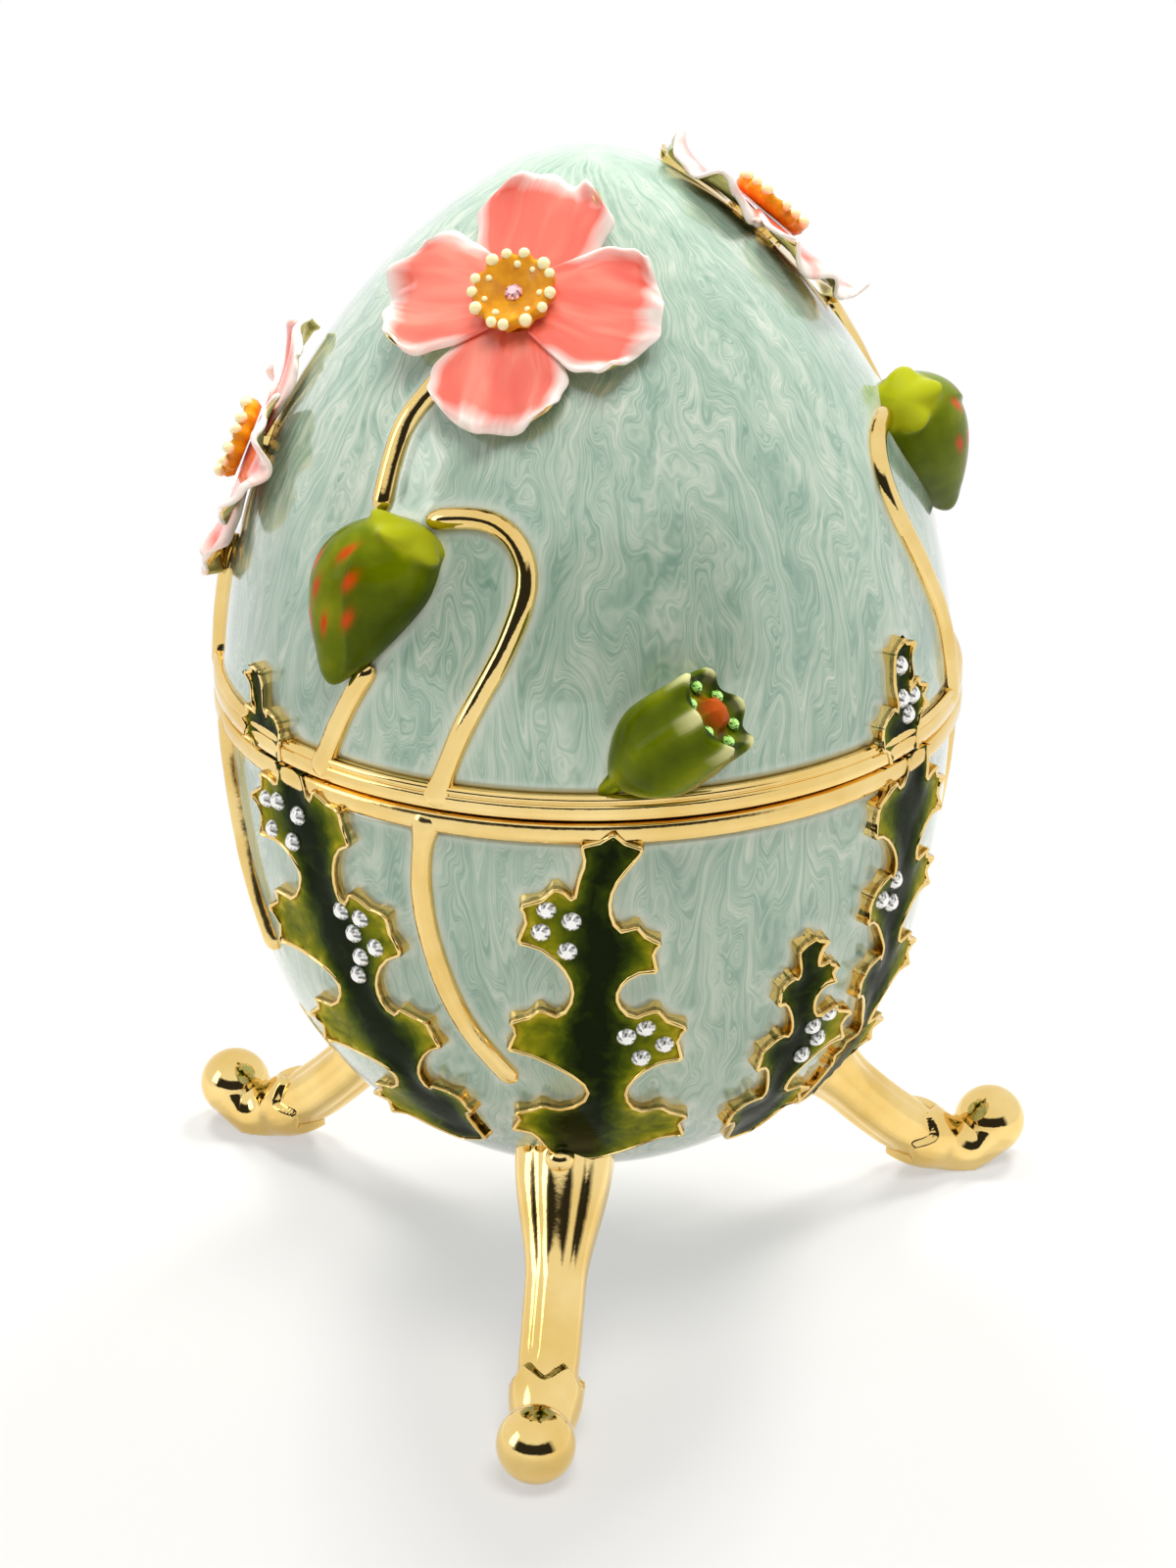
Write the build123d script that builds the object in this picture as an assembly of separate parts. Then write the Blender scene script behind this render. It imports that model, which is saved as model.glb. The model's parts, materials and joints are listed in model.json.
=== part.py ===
from build123d import *
import os
from functools import lru_cache
from math import asin, atan, atan2, cos, hypot, pi, radians, sin, sqrt, tan

# Enamelled egg box on three cast feet. Millimetres, +Z up, front at -Y, hinge at the back.
# Azimuths are degrees round the egg, 0 at the front and growing to the right.
# Heights of ornaments are taken from the seam, up on the lid and negative on the cup.

# Egg body, measured on the enamel
egg_radius = 33.0  # at the seam, the widest place
seam_height = 58.5  # above the surface that the feet stand on
lid_rise = 48.8  # seam to the top pole
cup_depth = 46.2  # seam to the bottom pole
lid_side_radius = 55.4  # meridian arc beside the seam
cup_side_radius = 107.5
seam_gap = 0.4  # slit between the two rims
enamel_thickness = 0.5
shell_wall = 1.8
bond_line = 0.05  # solder or adhesive under each applied piece

# Rims and locating collar
lid_rim_height = 2.6
cup_rim_height = 1.9
rim_proud = 0.9
collar_wall = 1.0
collar_seat = 6.0
collar_rise = 2.5
collar_clearance = 0.25

# Hinge
hinge_standoff = 1.8  # rim surface to the axis of the pin
barrel_radius = 1.5
pin_radius = 0.6
pin_clearance = 0.05
pin_head_radius = 1.0
pin_head_length = 0.5
knuckle_length = 4.5
knuckle_gap = 0.15
hinge_leaf_height = 3.6
hinge_relief = 0.3  # free space round the moving barrel

# Legs
leg_azimuths = {"front": 0.0, "right": 118.0, "left": -118.0}
leg_root_drop = 39.0  # below the seam, where the axis of the leg leaves the egg
leg_root_radius = 4.0
leg_root_sink = 0.6
shank_radius = 2.8
ankle_radius = 2.2
ankle_reach = 40.5  # egg axis to the end of the ankle
sheath_radius = 3.4
toe_ball_radius = 3.5
toe_ball_reach = 43.2
toe_ball_height = 3.9
sole_depth = 0.35  # ground off the underside of each foot
leg_peg_radius = 1.5
# Places along a leg, 0 at the egg and 1 at the ankle, with the radius there
shank_rings = [(0.0, leg_root_radius), (0.3, shank_radius), (0.65, shank_radius), (1.0, ankle_radius)]
sheath_rings = [(0.5, shank_radius), (0.62, sheath_radius), (0.86, ankle_radius)]

# Leaves: a gold tray with an enamel fill. Lobes are (side, place on the rib, reach, spread, notch),
# with side 1 to the right, -1 to the left and 0 at the top of the rib. The notch is the distance
# from the rib of the dip that follows the lobe, clockwise.
leaf_height = 1.3
leaf_floor = 0.45
leaf_fill_top = 1.05
leaf_rim_width = 0.5
leaf_waist = 1.7
lobe_slant = 26.0
tooth_depth = 0.2  # share of the spread
leg_leaf_lobes = [(0, 24.8, 0.0, 3.4, 0.4), (1, 13.2, 5.4, 3.3, 1.8), (1, 4.0, 8.6, 4.2, 3.6),
                  (1, -7.4, 9.8, 3.9, leaf_waist), (-1, -7.2, 6.4, 3.5, 0.0), (-1, 3.9, 7.7, 3.7, 2.3),
                  (-1, 15.4, 7.8, 4.2, 2.7)]
left_leaf_lobes = [(0, 25.0, 0.0, 3.0, 2.1), (1, 16.0, 6.4, 3.7, 2.4), (1, 5.9, 7.7, 4.5, 2.4),
                   (1, -4.2, 6.8, 3.2, 2.0), (1, -12.2, 4.8, 2.7, leaf_waist), (-1, -12.6, 7.4, 3.2, 2.0),
                   (-1, -3.6, 9.4, 3.6, 2.6), (-1, 6.6, 9.8, 3.9, 2.4), (-1, 17.0, 7.4, 4.2, 1.7)]
right_leaf_lobes = [(0, 22.6, 0.0, 2.8, 2.2), (1, 14.8, 6.2, 3.4, 2.2), (1, 7.2, 6.2, 3.1, 2.0),
                    (1, -1.0, 6.0, 3.1, 2.0), (1, -9.4, 5.2, 3.0, leaf_waist), (-1, -9.6, 3.2, 2.5, 1.2),
                    (-1, -1.2, 4.4, 2.8, 2.0), (-1, 6.8, 5.8, 3.2, 2.4), (-1, 15.4, 6.8, 3.4, 2.0)]
small_leaf_lobes = [(0, 14.2, 0.0, 2.2, 1.2), (1, 9.4, 3.6, 2.0, 1.5), (1, 2.4, 6.8, 3.7, 1.7),
                    (1, -6.4, 5.0, 2.8, leaf_waist), (-1, -6.0, 4.6, 2.8, 1.7), (-1, 2.0, 4.3, 2.8, 1.2),
                    (-1, 8.8, 3.5, 2.0, 1.2)]
left_tip_lobes = [(0, 8.4, 0.0, 1.9, 1.2), (1, 2.4, 3.8, 2.2, leaf_waist), (-1, 2.8, 3.5, 2.2, 1.1)]
right_tip_lobes = [(0, 11.2, 0.0, 2.3, 1.2), (1, 5.0, 3.5, 2.3, leaf_waist), (-1, 3.2, 4.6, 2.6, 1.8)]
# Places of the stones on a leaf, as (across, along)
leg_leaf_stones = [(-5.0, 16.8), (-2.8, 16.0), (-5.3, 14.6), (-2.9, 13.1), (4.5, 5.6), (2.9, 4.7),
                   (6.3, 3.7), (4.4, 2.3)]
left_leaf_stones = [(-4.8, 18.3), (-2.9, 18.2), (-0.3, 17.0), (-5.0, 15.6), (-2.2, 14.6), (1.6, 8.3),
                    (3.6, 7.5), (2.1, 6.1), (4.0, 4.6), (1.8, 3.8), (0.6, 2.1)]
right_leaf_stones = [(-1.2, 8.4), (-3.0, 7.0), (-1.2, 6.2)]
small_leaf_stones = [(3.6, 4.6), (1.9, 3.8), (3.0, 1.9), (1.6, 0.4)]
right_tip_stones = [(-0.3, 8.6), (1.3, 5.5), (-0.5, 5.7), (0.3, 4.0)]
# Each leaf: half of the egg, azimuth, height, tilt to the left, foot of the rib, lobes and stones
leg_leaf = ("cup", 6.0, -25.0, -5.0, -14.0, leg_leaf_lobes, leg_leaf_stones)
leg_leaf_turns = {"front": 0.0, "right": 118.0, "left": -112.0}
left_side_leaf = ("cup", -32.0, -20.0, 19.0, -18.0, left_leaf_lobes, left_leaf_stones)
right_side_leaf = ("cup", 61.5, -20.0, -4.0, -17.0, right_leaf_lobes, right_leaf_stones)
right_small_leaf = ("cup", 42.0, -27.0, 0.0, -12.0, small_leaf_lobes, small_leaf_stones)
back_small_leaf = ("cup", 186.0, -27.0, 0.0, -12.0, small_leaf_lobes, small_leaf_stones)
left_leaf_tip = ("lid", -49.0, 0.0, 18.0, -4.0, left_tip_lobes, [])
right_leaf_tip = ("lid", 60.5, 0.0, 0.0, -4.0, right_tip_lobes, right_tip_stones)

# Stones, flat at the back
stone_radius = 0.82
stone_height = 0.8
stone_girdle = 0.25
stone_table = 0.55  # share of the radius

# Flowers on the lid, as azimuth, height and turn of the petals
flower_spots = {"top_flower": (-13.9, 39.4, 0.0), "right_flower": (117.0, 40.3, 20.0),
                "left_flower": (-86.0, 21.2, 10.0)}
petal_thickness = 0.6
petal_length = 12.2
petal_spread = 5.6
petal_waist = 3.2
scallop_depth = 0.06  # share of the spread
flower_post_radius = 3.0
flower_disc_radius = 3.6
flower_disc_height = 1.5
disc_hollow_depth = 0.8
stamen_count = 13
stamen_radius = 0.5
flower_stone_scale = 0.9

# Buds on the lid, as azimuth, height and direction of the tip, counter-clockwise from the right
bud_spots = {"front_bud": (-29.4, 16.8, 245.0), "right_bud": (94.5, 21.7, 300.0),
             "back_bud": (-166.0, 16.8, 245.0)}
bud_length = 15.0
bud_radius = 4.5
bud_neck_radius = 1.3
bud_axis_lift = 0.9
bud_widest_place = -0.1  # share of the length, from the middle to the neck
bud_back_fullness = 0.82  # shares of the radius, halfway to the neck and to the tip
bud_front_fullness = 0.74

# Pods on the lid, one over each leg leaf
pod_spots = {"front_pod": (16.7, 7.1), "right_pod": (136.7, 7.1), "left_pod": (-133.0, 7.1)}
pod_direction = 42.0  # of the crown, counter-clockwise from the right
pod_length = 11.5
pod_radius = 4.3
pod_crown_radius = 4.0
pod_lip = 0.7
pod_stalk_radius = 0.9
pod_stalk_length = 2.2
pod_axis_lift = 2.2
pod_outward_tilt = 28.0
pod_knob_radius = 1.1
pod_lobe_count = 6
pod_stone_scale = 0.7
pod_back_place = 0.55  # share of the half length, where the back is this full
pod_back_fullness = 0.8

# Stems, as the half of the egg and the (azimuth, height) places that each one passes
stem_width = 1.8
stem_height = 1.1
stem_bend_share = 0.45  # of the shorter run, taken by each rounded corner
bud_hook = [(-16.9, 1.0), (-12.5, 7.6), (-6.4, 14.8), (-3.9, 19.5), (-5.4, 22.3), (-9.5, 23.9),
            (-14.9, 24.2), (-20.4, 23.8)]
cup_branch = [(-18.3, -1.0), (-19.4, -7.0), (-18.1, -13.5), (-14.1, -20.2), (-8.0, -25.2)]
stem_routes = {
    "top_flower_stem": ("lid", [(-25.0, 36.0), (-29.4, 33.0), (-33.0, 29.6), (-32.6, 25.4)]),
    "front_side_stem": ("lid", [(-28.6, 10.8), (-33.0, 6.6), (-37.2, 1.0)]),
    "left_flower_stem": ("lid", [(-87.0, 15.5), (-85.0, 9.5), (-84.0, 1.0)]),
    "right_flower_stem": ("lid", [(114.0, 33.0), (117.0, 27.0), (116.0, 20.0), (111.0, 12.0),
                                  (113.0, 1.0)]),
    "front_bud_stem": ("lid", bud_hook),
    "back_bud_stem": ("lid", [(azimuth - 136.6, height) for azimuth, height in bud_hook]),
    "right_bud_stem": ("lid", [(81.0, 1.0), (78.9, 8.3), (73.6, 14.9), (69.6, 20.6), (70.4, 24.2),
                               (75.0, 26.1), (82.6, 26.3)]),
    "front_cup_stem": ("cup", cup_branch),
    "right_cup_stem": ("cup", [(azimuth + 120.0, height) for azimuth, height in cup_branch]),
    "left_cup_stem": ("cup", [(azimuth - 112.0, height) for azimuth, height in cup_branch]),
    "side_cup_stem": ("cup", [(-69.0, -1.0), (-67.0, -5.5), (-65.0, -10.5), (-62.5, -15.5),
                              (-58.0, -20.5)]),
}

# Values that follow from the ones above
shell_outside = -enamel_thickness - bond_line
shell_inside = shell_outside - shell_wall
rim_heights = {"lid": lid_rim_height, "cup": cup_rim_height}
mouth_heights = {"lid": seam_gap, "cup": 0.0}
upward = {"lid": 1, "cup": -1}
flower_standoff = stem_height + bond_line  # the stems end under the lower petals
relief_depth = 0.65 * egg_radius
relief_reach = 0.25 * egg_radius
hinge_axis_radius = egg_radius + rim_proud + hinge_standoff
front_reach = toe_ball_reach + toe_ball_radius
back_reach = hinge_axis_radius + barrel_radius
egg_axis = Pos(0, (front_reach - back_reach) / 2, 0)  # middles the footprint on the origin


def meridian(half):
    """Inset of the side-arc centre, join angle, side radius, cap radius and height of the cap centre."""
    rise, side_radius = (lid_rise, lid_side_radius) if half == "lid" else (cup_depth, cup_side_radius)
    inset = side_radius - egg_radius
    join = pi / 2 - 2 * atan((side_radius - rise) / inset)
    return inset, join, side_radius, side_radius - inset / cos(join), inset * tan(join)


def half_section(half, offset):
    """Half section of the egg from the seam plane to a pole, grown by an offset."""
    inset, join, side_radius, cap_radius, cap_centre = meridian(half)
    up = upward[half]

    def on_side(angle):
        return ((side_radius + offset) * cos(angle) - inset, up * (side_radius + offset) * sin(angle))

    def on_cap(angle):
        return ((cap_radius + offset) * cos(angle), up * (cap_centre + (cap_radius + offset) * sin(angle)))

    outline = [
        Line((0, 0), on_side(0)),
        ThreePointArc(on_side(0), on_side(join / 2), on_side(join)),
        ThreePointArc(on_side(join), on_cap((join + pi / 2) / 2), on_cap(pi / 2)),
        Line(on_cap(pi / 2), (0, 0)),
    ]
    return make_face(outline)


@lru_cache(maxsize=None)
def egg_half(half, offset):
    """Solid half of the egg, grown by an offset."""
    seam_plane = Plane((0, 0, seam_height), x_dir=(1, 0, 0), z_dir=(0, -1, 0))
    return revolve(seam_plane * half_section(half, offset), Axis.Z)


@lru_cache(maxsize=None)
def layer(half, inside, outside, mouth):
    """Shell between two offsets of the egg, cut square at a height from the seam."""
    seam_plane = Plane((0, 0, seam_height), x_dir=(1, 0, 0), z_dir=(0, -1, 0))
    tall = lid_rise + cup_depth
    window = Pos(0, upward[half] * (mouth + tall / 2)) * Rectangle(4 * egg_radius, tall)
    band = half_section(half, outside) - half_section(half, inside)
    return revolve(seam_plane * (band & window), Axis.Z)


def rim_ring(half, inside, outside, grow):
    """Ring along the mouth of one half."""
    ring = layer(half, inside, outside, mouth_heights[half] - grow)
    return ring - layer(half, inside - bond_line, outside + bond_line, rim_heights[half] + grow)


def surface_plane(azimuth, height, offset=0.0):
    """Plane that touches the egg, with x to the right, y up the egg and z outwards."""
    half = "lid" if height >= 0 else "cup"
    inset, join, side_radius, cap_radius, cap_centre = meridian(half)
    rise = abs(height)
    if rise <= side_radius * sin(join):
        lean = asin(rise / side_radius)
        radius = side_radius * cos(lean) - inset
    else:
        lean = asin((rise - cap_centre) / cap_radius)
        radius = cap_radius * cos(lean)
    turn = radians(azimuth)
    normal = Vector(sin(turn) * cos(lean), -cos(turn) * cos(lean), upward[half] * sin(lean))
    spot = Vector(radius * sin(turn), -radius * cos(turn), seam_height + height) + normal * offset
    return Plane(spot, x_dir=(cos(turn), sin(turn), 0), z_dir=normal)


def spun(plane, turn, tilt=0.0):
    """A plane turned about its normal, then tipped so that its x axis leaves the egg."""
    return Plane(plane.location * Rot(0, 0, turn) * Rot(0, -tilt, 0))


def egg_distance(point):
    """Distance of a point from the enamel and the outward normal there."""
    half = "lid" if point.Z >= seam_height else "cup"
    inset, join, side_radius, cap_radius, cap_centre = meridian(half)
    rise = abs(point.Z - seam_height)
    radius = hypot(point.X, point.Y)
    lean = atan2(rise, radius + inset)
    distance = hypot(rise, radius + inset) - side_radius
    if lean > join:
        lean = atan2(rise - cap_centre, radius)
        distance = hypot(rise - cap_centre, radius) - cap_radius
    across = cos(lean) / radius
    return distance, Vector(point.X * across, point.Y * across, upward[half] * sin(lean))


def seat_plane(plane, x, y, offset):
    """Plane on an offset of the egg, straight under a point of a touching plane."""
    point = plane.from_local_coords((x, y, 0))
    settle_steps = 30
    for _ in range(settle_steps):
        distance, normal = egg_distance(point)
        point = point - plane.z_dir * (distance - offset)
    return Plane(point, x_dir=plane.x_dir, z_dir=normal)


def relief(plane, outline, half, inside, outside, mouth):
    """Part of a layer over the egg that lies under an outline drawn on a touching plane."""
    prism = extrude(plane.offset(-relief_depth) * outline, relief_depth + relief_reach)
    return prism & layer(half, inside, outside, mouth)


def fan(middle, axis_angle, spread, depth, angles, inset):
    """Toothed arcs round a middle, clockwise, with a tip at every second angle."""
    points = []
    for index, angle in enumerate(angles):
        radius = (spread if index % 2 else spread * (1 - depth)) - inset
        turn = radians(axis_angle + angle)
        points.append((middle[0] + radius * cos(turn), middle[1] + radius * sin(turn)))
    return [ThreePointArc(*points[start:start + 3]) for start in range(0, len(points) - 2, 2)]


def leaf_outline(foot, lobes, inset):
    """Lobed leaf about an upright rib, drawn in by an inset."""
    tooth_angles = (80, 52, 26, 0, -26, -52, -80)
    axis_angles = {0: 90, 1: lobe_slant, -1: 180 - lobe_slant}
    waist = leaf_waist - inset
    edges = []
    last_side, last_notch = None, None
    for side, place, reach, spread, notch in lobes:
        middle = (side * (reach - spread), place if side else place - spread)
        arcs = fan(middle, axis_angles[side], spread, tooth_depth, tooth_angles, inset)
        if edges and side == -1 and last_side != -1:
            corners = [(waist, foot + inset), (-waist, foot + inset)]
            edges.append(Polyline(edges[-1] @ 1, *corners, arcs[0] @ 0))
        elif edges:
            dip = (side * (last_notch - inset), ((edges[-1] @ 1).Y + (arcs[0] @ 0).Y) / 2)
            edges.append(ThreePointArc(edges[-1] @ 1, dip, arcs[0] @ 0))
        edges += arcs
        last_side, last_notch = side, notch
    first, last = edges[0] @ 0, edges[-1] @ 1
    edges.append(ThreePointArc(last, (inset - last_notch, (first.Y + last.Y) / 2), first))
    return make_face(edges)


def stone(scale=1.0):
    """Flat-backed cut stone, standing on the origin."""
    radius, height = stone_radius * scale, stone_height * scale
    girdle = stone_girdle * scale
    corners = [(0, 0), (radius, 0), (radius, girdle), (radius * stone_table, height), (0, height)]
    return revolve(Plane.XZ * make_face(Polyline(*corners, close=True)), Axis.Z)


def leg_root_hole():
    """Where the root of a leg stands on the cup, for each leg."""
    return {name: surface_plane(azimuth, -leg_root_drop) for name, azimuth in leg_azimuths.items()}


def leaf_parts(leaf):
    """Gold tray, enamel fill and stones of one leaf."""
    half, azimuth, height, tilt, foot, lobes, stone_places = leaf
    plane = spun(surface_plane(azimuth, height), tilt)
    mouth = rim_heights[half] + bond_line
    outline = leaf_outline(foot, lobes, 0.0)
    pocket = leaf_outline(foot, lobes, leaf_rim_width)
    fill_outline = leaf_outline(foot, lobes, leaf_rim_width + bond_line)
    tray = relief(plane, outline, half, bond_line, leaf_height, mouth)
    tray -= relief(plane, pocket, half, leaf_floor, leaf_height + bond_line, mouth + leaf_rim_width)
    fill = relief(plane, fill_outline, half, leaf_floor + bond_line, leaf_fill_top,
                  mouth + leaf_rim_width + bond_line)
    if half == "cup":
        for root in leg_root_hole().values():
            clear = root * Cylinder(leg_root_radius + bond_line, relief_reach)
            tray -= clear
            fill -= clear
    stone_seats = [seat_plane(plane, x, y, leaf_fill_top + bond_line) for x, y in stone_places]
    return tray, fill, [seat * stone() for seat in stone_seats]


def turned_leaf(leaf, turn):
    """The same leaf further round the egg."""
    half, azimuth, *rest = leaf
    return (half, azimuth + turn, *rest)


def stem(half, route):
    """Stem laid on the enamel, cut off at the rim."""
    places = [surface_plane(azimuth, height).origin for azimuth, height in route]
    plane = surface_plane(*route[len(route) // 2])
    flat = [plane.to_local_coords(place) for place in places]
    points = [Vector(spot.X, spot.Y) for spot in flat]
    radii = []
    for before, corner, after in zip(points, points[1:], points[2:]):
        run = min((corner - before).length, (after - corner).length)
        turn = radians((corner - before).get_angle(after - corner))
        radii.append(stem_bend_share * run / tan(turn / 2))
    path = FilletPolyline(*points, radius=radii)
    mouth = rim_heights[half] + bond_line
    return relief(plane, trace(path, stem_width), half, bond_line, stem_height, mouth)


def shell(half):
    """Metal half shell."""
    return layer(half, shell_inside, shell_outside, mouth_heights[half])


def enamel(half):
    """Enamel over one half, up to its rim."""
    return layer(half, -enamel_thickness, 0.0, rim_heights[half] + bond_line)


def locating_collar():
    """Ring inside the mouth of the cup that rises into the lid."""
    outside = shell_inside - bond_line
    inside = outside - collar_wall
    seat = layer("cup", inside, outside, 0.0)
    seat -= layer("cup", inside - bond_line, outside + bond_line, collar_seat)
    bore = Cylinder(egg_radius + inside, collar_rise)
    neck = Cylinder(egg_radius + outside - collar_clearance, collar_rise) - bore
    return seat + Pos(0, 0, seam_height + collar_rise / 2) * neck


def leg():
    """Front leg: cabriole shank with an ankle sheath, ball toe, flat sole and a peg through the cup."""
    root = surface_plane(0, -leg_root_drop)
    start = root.origin - root.z_dir * leg_root_sink
    ankle = Vector(0, -ankle_reach, ankle_radius - sole_depth)
    bend = start + root.z_dir * ((start.Z - ankle.Z) / -root.z_dir.Z)
    path = Bezier(start, bend, ankle)

    def along(rings):
        sections = []
        for place, radius in rings:
            sections.append(Plane(origin=path @ place, z_dir=path % place) * Circle(radius))
        return loft(sections)

    shank = along(shank_rings)
    sheath = along(sheath_rings)
    toe = Pos(0, -toe_ball_reach, toe_ball_height) * Sphere(toe_ball_radius)
    heel = Pos(*ankle) * Sphere(ankle_radius)
    under = 4 * toe_ball_radius
    ground = Pos(0, -ankle_reach, -under / 2) * Box(under, under, under)
    body = shank + sheath + toe + heel - egg_half("cup", bond_line) - ground
    peg_length = shell_wall + enamel_thickness + 2 * bond_line + leg_root_sink
    peg = root.offset(leg_root_sink - peg_length / 2) * Cylinder(leg_peg_radius, peg_length)
    return body + peg


def hinge_barrel(x, radius, length):
    """Round bar along the hinge axis."""
    return Pos(x, hinge_axis_radius, seam_height) * Rot(0, 90, 0) * Cylinder(radius, length)


def hinge_block(x, width, low, high):
    """Block between the rim and the hinge axis, over a range of heights from the seam."""
    depth = 2 * hinge_standoff + rim_proud
    middle = Pos(x, hinge_axis_radius - depth / 2, seam_height + (low + high) / 2)
    return middle * Box(width, depth, high - low)


def hinge_leaves():
    """Cup hinge with two knuckles, lid hinge with one, and the headed pin."""
    step = knuckle_length + knuckle_gap
    span = 3 * knuckle_length + 2 * knuckle_gap
    bore = hinge_barrel(0, pin_radius + pin_clearance, 2 * span)
    cup_leaf = hinge_block(0, span, -hinge_leaf_height, -barrel_radius - hinge_relief)
    for x in (-step, step):
        cup_leaf += hinge_barrel(x, barrel_radius, knuckle_length)
        cup_leaf += hinge_block(x, knuckle_length, -hinge_leaf_height, 0.0)
    lid_leaf = hinge_barrel(0, barrel_radius, knuckle_length)
    lid_leaf += hinge_block(0, knuckle_length, seam_gap, hinge_leaf_height)
    fitted = []
    for half, leaf in (("cup", cup_leaf), ("lid", lid_leaf)):
        rim = rim_ring(half, shell_outside, rim_proud + bond_line, bond_line)
        fitted.append(leaf - egg_half(half, bond_line) - rim - bore)
    pin = hinge_barrel(0, pin_radius, span + 2 * pin_clearance)
    for side in (-1, 1):
        head = side * (span / 2 + pin_clearance + pin_head_length / 2)
        pin += hinge_barrel(head, pin_head_radius, pin_head_length)
    return fitted[0], fitted[1], pin


def petal_pair(turn):
    """Two opposite scalloped petals that meet in the middle of the flower."""
    scallop_angles = (110, 82, 55, 27, 0, -27, -55, -82, -110)
    pair = Circle(petal_waist)
    for direction in (turn, turn + 180):
        reach = petal_length - petal_spread
        middle = (reach * cos(radians(direction)), reach * sin(radians(direction)))
        arcs = fan(middle, direction, petal_spread, scallop_depth, scallop_angles, 0.0)
        square = radians(direction + 90)
        corner = (petal_waist * cos(square), petal_waist * sin(square))
        sides = Polyline(arcs[-1] @ 1, (-corner[0], -corner[1]), corner, arcs[0] @ 0)
        pair += make_face(arcs + [sides])
    return pair


def flower_parts(azimuth, height, turn):
    """Lower petals, upper petals, disc with stamens, stone and post of one flower."""
    plane = surface_plane(azimuth, height)
    lower_top = flower_standoff + petal_thickness
    upper_seat = lower_top + bond_line
    upper_top = upper_seat + petal_thickness
    mouth = rim_heights["lid"] + bond_line
    lower = relief(plane, petal_pair(90 + turn), "lid", flower_standoff, lower_top, mouth)
    upper = relief(plane, petal_pair(turn), "lid", upper_seat, upper_top, mouth)
    post = relief(plane, Circle(flower_post_radius), "lid", bond_line, flower_standoff - bond_line, mouth)
    hollow_radius = flower_disc_radius - stamen_radius
    ball_radius = (hollow_radius ** 2 + disc_hollow_depth ** 2) / (2 * disc_hollow_depth)
    hollow = Pos(0, 0, flower_disc_height - disc_hollow_depth + ball_radius) * Sphere(ball_radius)
    disc = Pos(0, 0, flower_disc_height / 2) * Cylinder(flower_disc_radius, flower_disc_height) - hollow
    for count in range(stamen_count):
        place = PolarLocations(flower_disc_radius - stamen_radius, stamen_count).locations[count]
        disc += Pos(0, 0, flower_disc_height) * place * Sphere(stamen_radius)
    seat = plane.offset(upper_top + bond_line)
    gem_radius = stone_radius * flower_stone_scale
    gem_sag = ball_radius - sqrt(ball_radius ** 2 - gem_radius ** 2)
    gem_seat = seat.offset(flower_disc_height - disc_hollow_depth + gem_sag + bond_line)
    gem = gem_seat * stone(flower_stone_scale)
    return lower, upper, seat * disc, gem, post


def turned_body(plane, direction, lift, tilt, profile):
    """Body of revolution that lies on the egg, its axis pointing along the egg and tilted outwards."""
    lying = spun(plane.offset(lift), direction, tilt)
    return lying, lying * revolve(make_face(profile), Axis.X)


def bud(azimuth, height, direction):
    """Drop-shaped bud with a short neck."""
    half_length = bud_length / 2
    widest = bud_widest_place * bud_length
    shoulder = (-half_length + bud_neck_radius, bud_neck_radius)
    back = ((shoulder[0] + widest) / 2, bud_back_fullness * bud_radius)
    belly = (widest, bud_radius)
    front = ((half_length + widest) / 2, bud_front_fullness * bud_radius)
    tip = (half_length, 0)
    profile = [
        Polyline(tip, (-half_length, 0), (-half_length, bud_neck_radius), shoulder),
        ThreePointArc(shoulder, back, belly),
        ThreePointArc(belly, front, tip),
    ]
    solid = turned_body(surface_plane(azimuth, height), direction, bud_axis_lift, 0, profile)[1]
    return solid - egg_half("lid", bond_line)


def pod(azimuth, height):
    """Cup-shaped seed pod with a stalk, a lobed crown and a knob, and its stones."""
    back, front = -pod_length / 2, pod_length / 2
    belly = (0.0, pod_radius)
    shoulder = (pod_back_place * back, pod_back_fullness * pod_radius)
    profile = [
        Polyline((front, 0), (back - pod_stalk_length, 0), (back - pod_stalk_length, pod_stalk_radius),
                 (back, pod_stalk_radius)),
        ThreePointArc((back, pod_stalk_radius), shoulder, belly),
        Polyline(belly, (front, pod_crown_radius), (front, 0)),
    ]
    plane = surface_plane(azimuth, height)
    axis_plane, solid = turned_body(plane, pod_direction, pod_axis_lift, pod_outward_tilt, profile)
    crown_middle = axis_plane.from_local_coords((front, 0, 0))
    crown = Plane(crown_middle, x_dir=axis_plane.y_dir, z_dir=axis_plane.x_dir)
    solid += crown * Sphere(pod_knob_radius)
    lip_circle = PolarLocations(pod_crown_radius - pod_lip / 2, pod_lobe_count)
    for place in lip_circle.locations:
        solid += crown * place * Sphere(pod_lip)
    solid -= egg_half("lid", bond_line)
    solid -= rim_ring("lid", shell_outside, rim_proud + bond_line, bond_line)
    ring = (pod_knob_radius + pod_crown_radius) / 2
    stones = []
    for place in PolarLocations(ring, pod_lobe_count, 180 / pod_lobe_count).locations:
        stones.append(crown.offset(bond_line) * place * stone(pod_stone_scale))
    return solid, [gem for gem in stones if egg_distance(gem.center())[0] > stone_radius * pod_stone_scale]


def save(name, *solids):
    """One file for each named piece, or group of like pieces, with the footprint middled on the origin."""
    placed = [egg_axis * part for solid in solids for part in solid.solids()]
    export_step(Compound(children=placed), f"parts/{name}.step")


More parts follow.
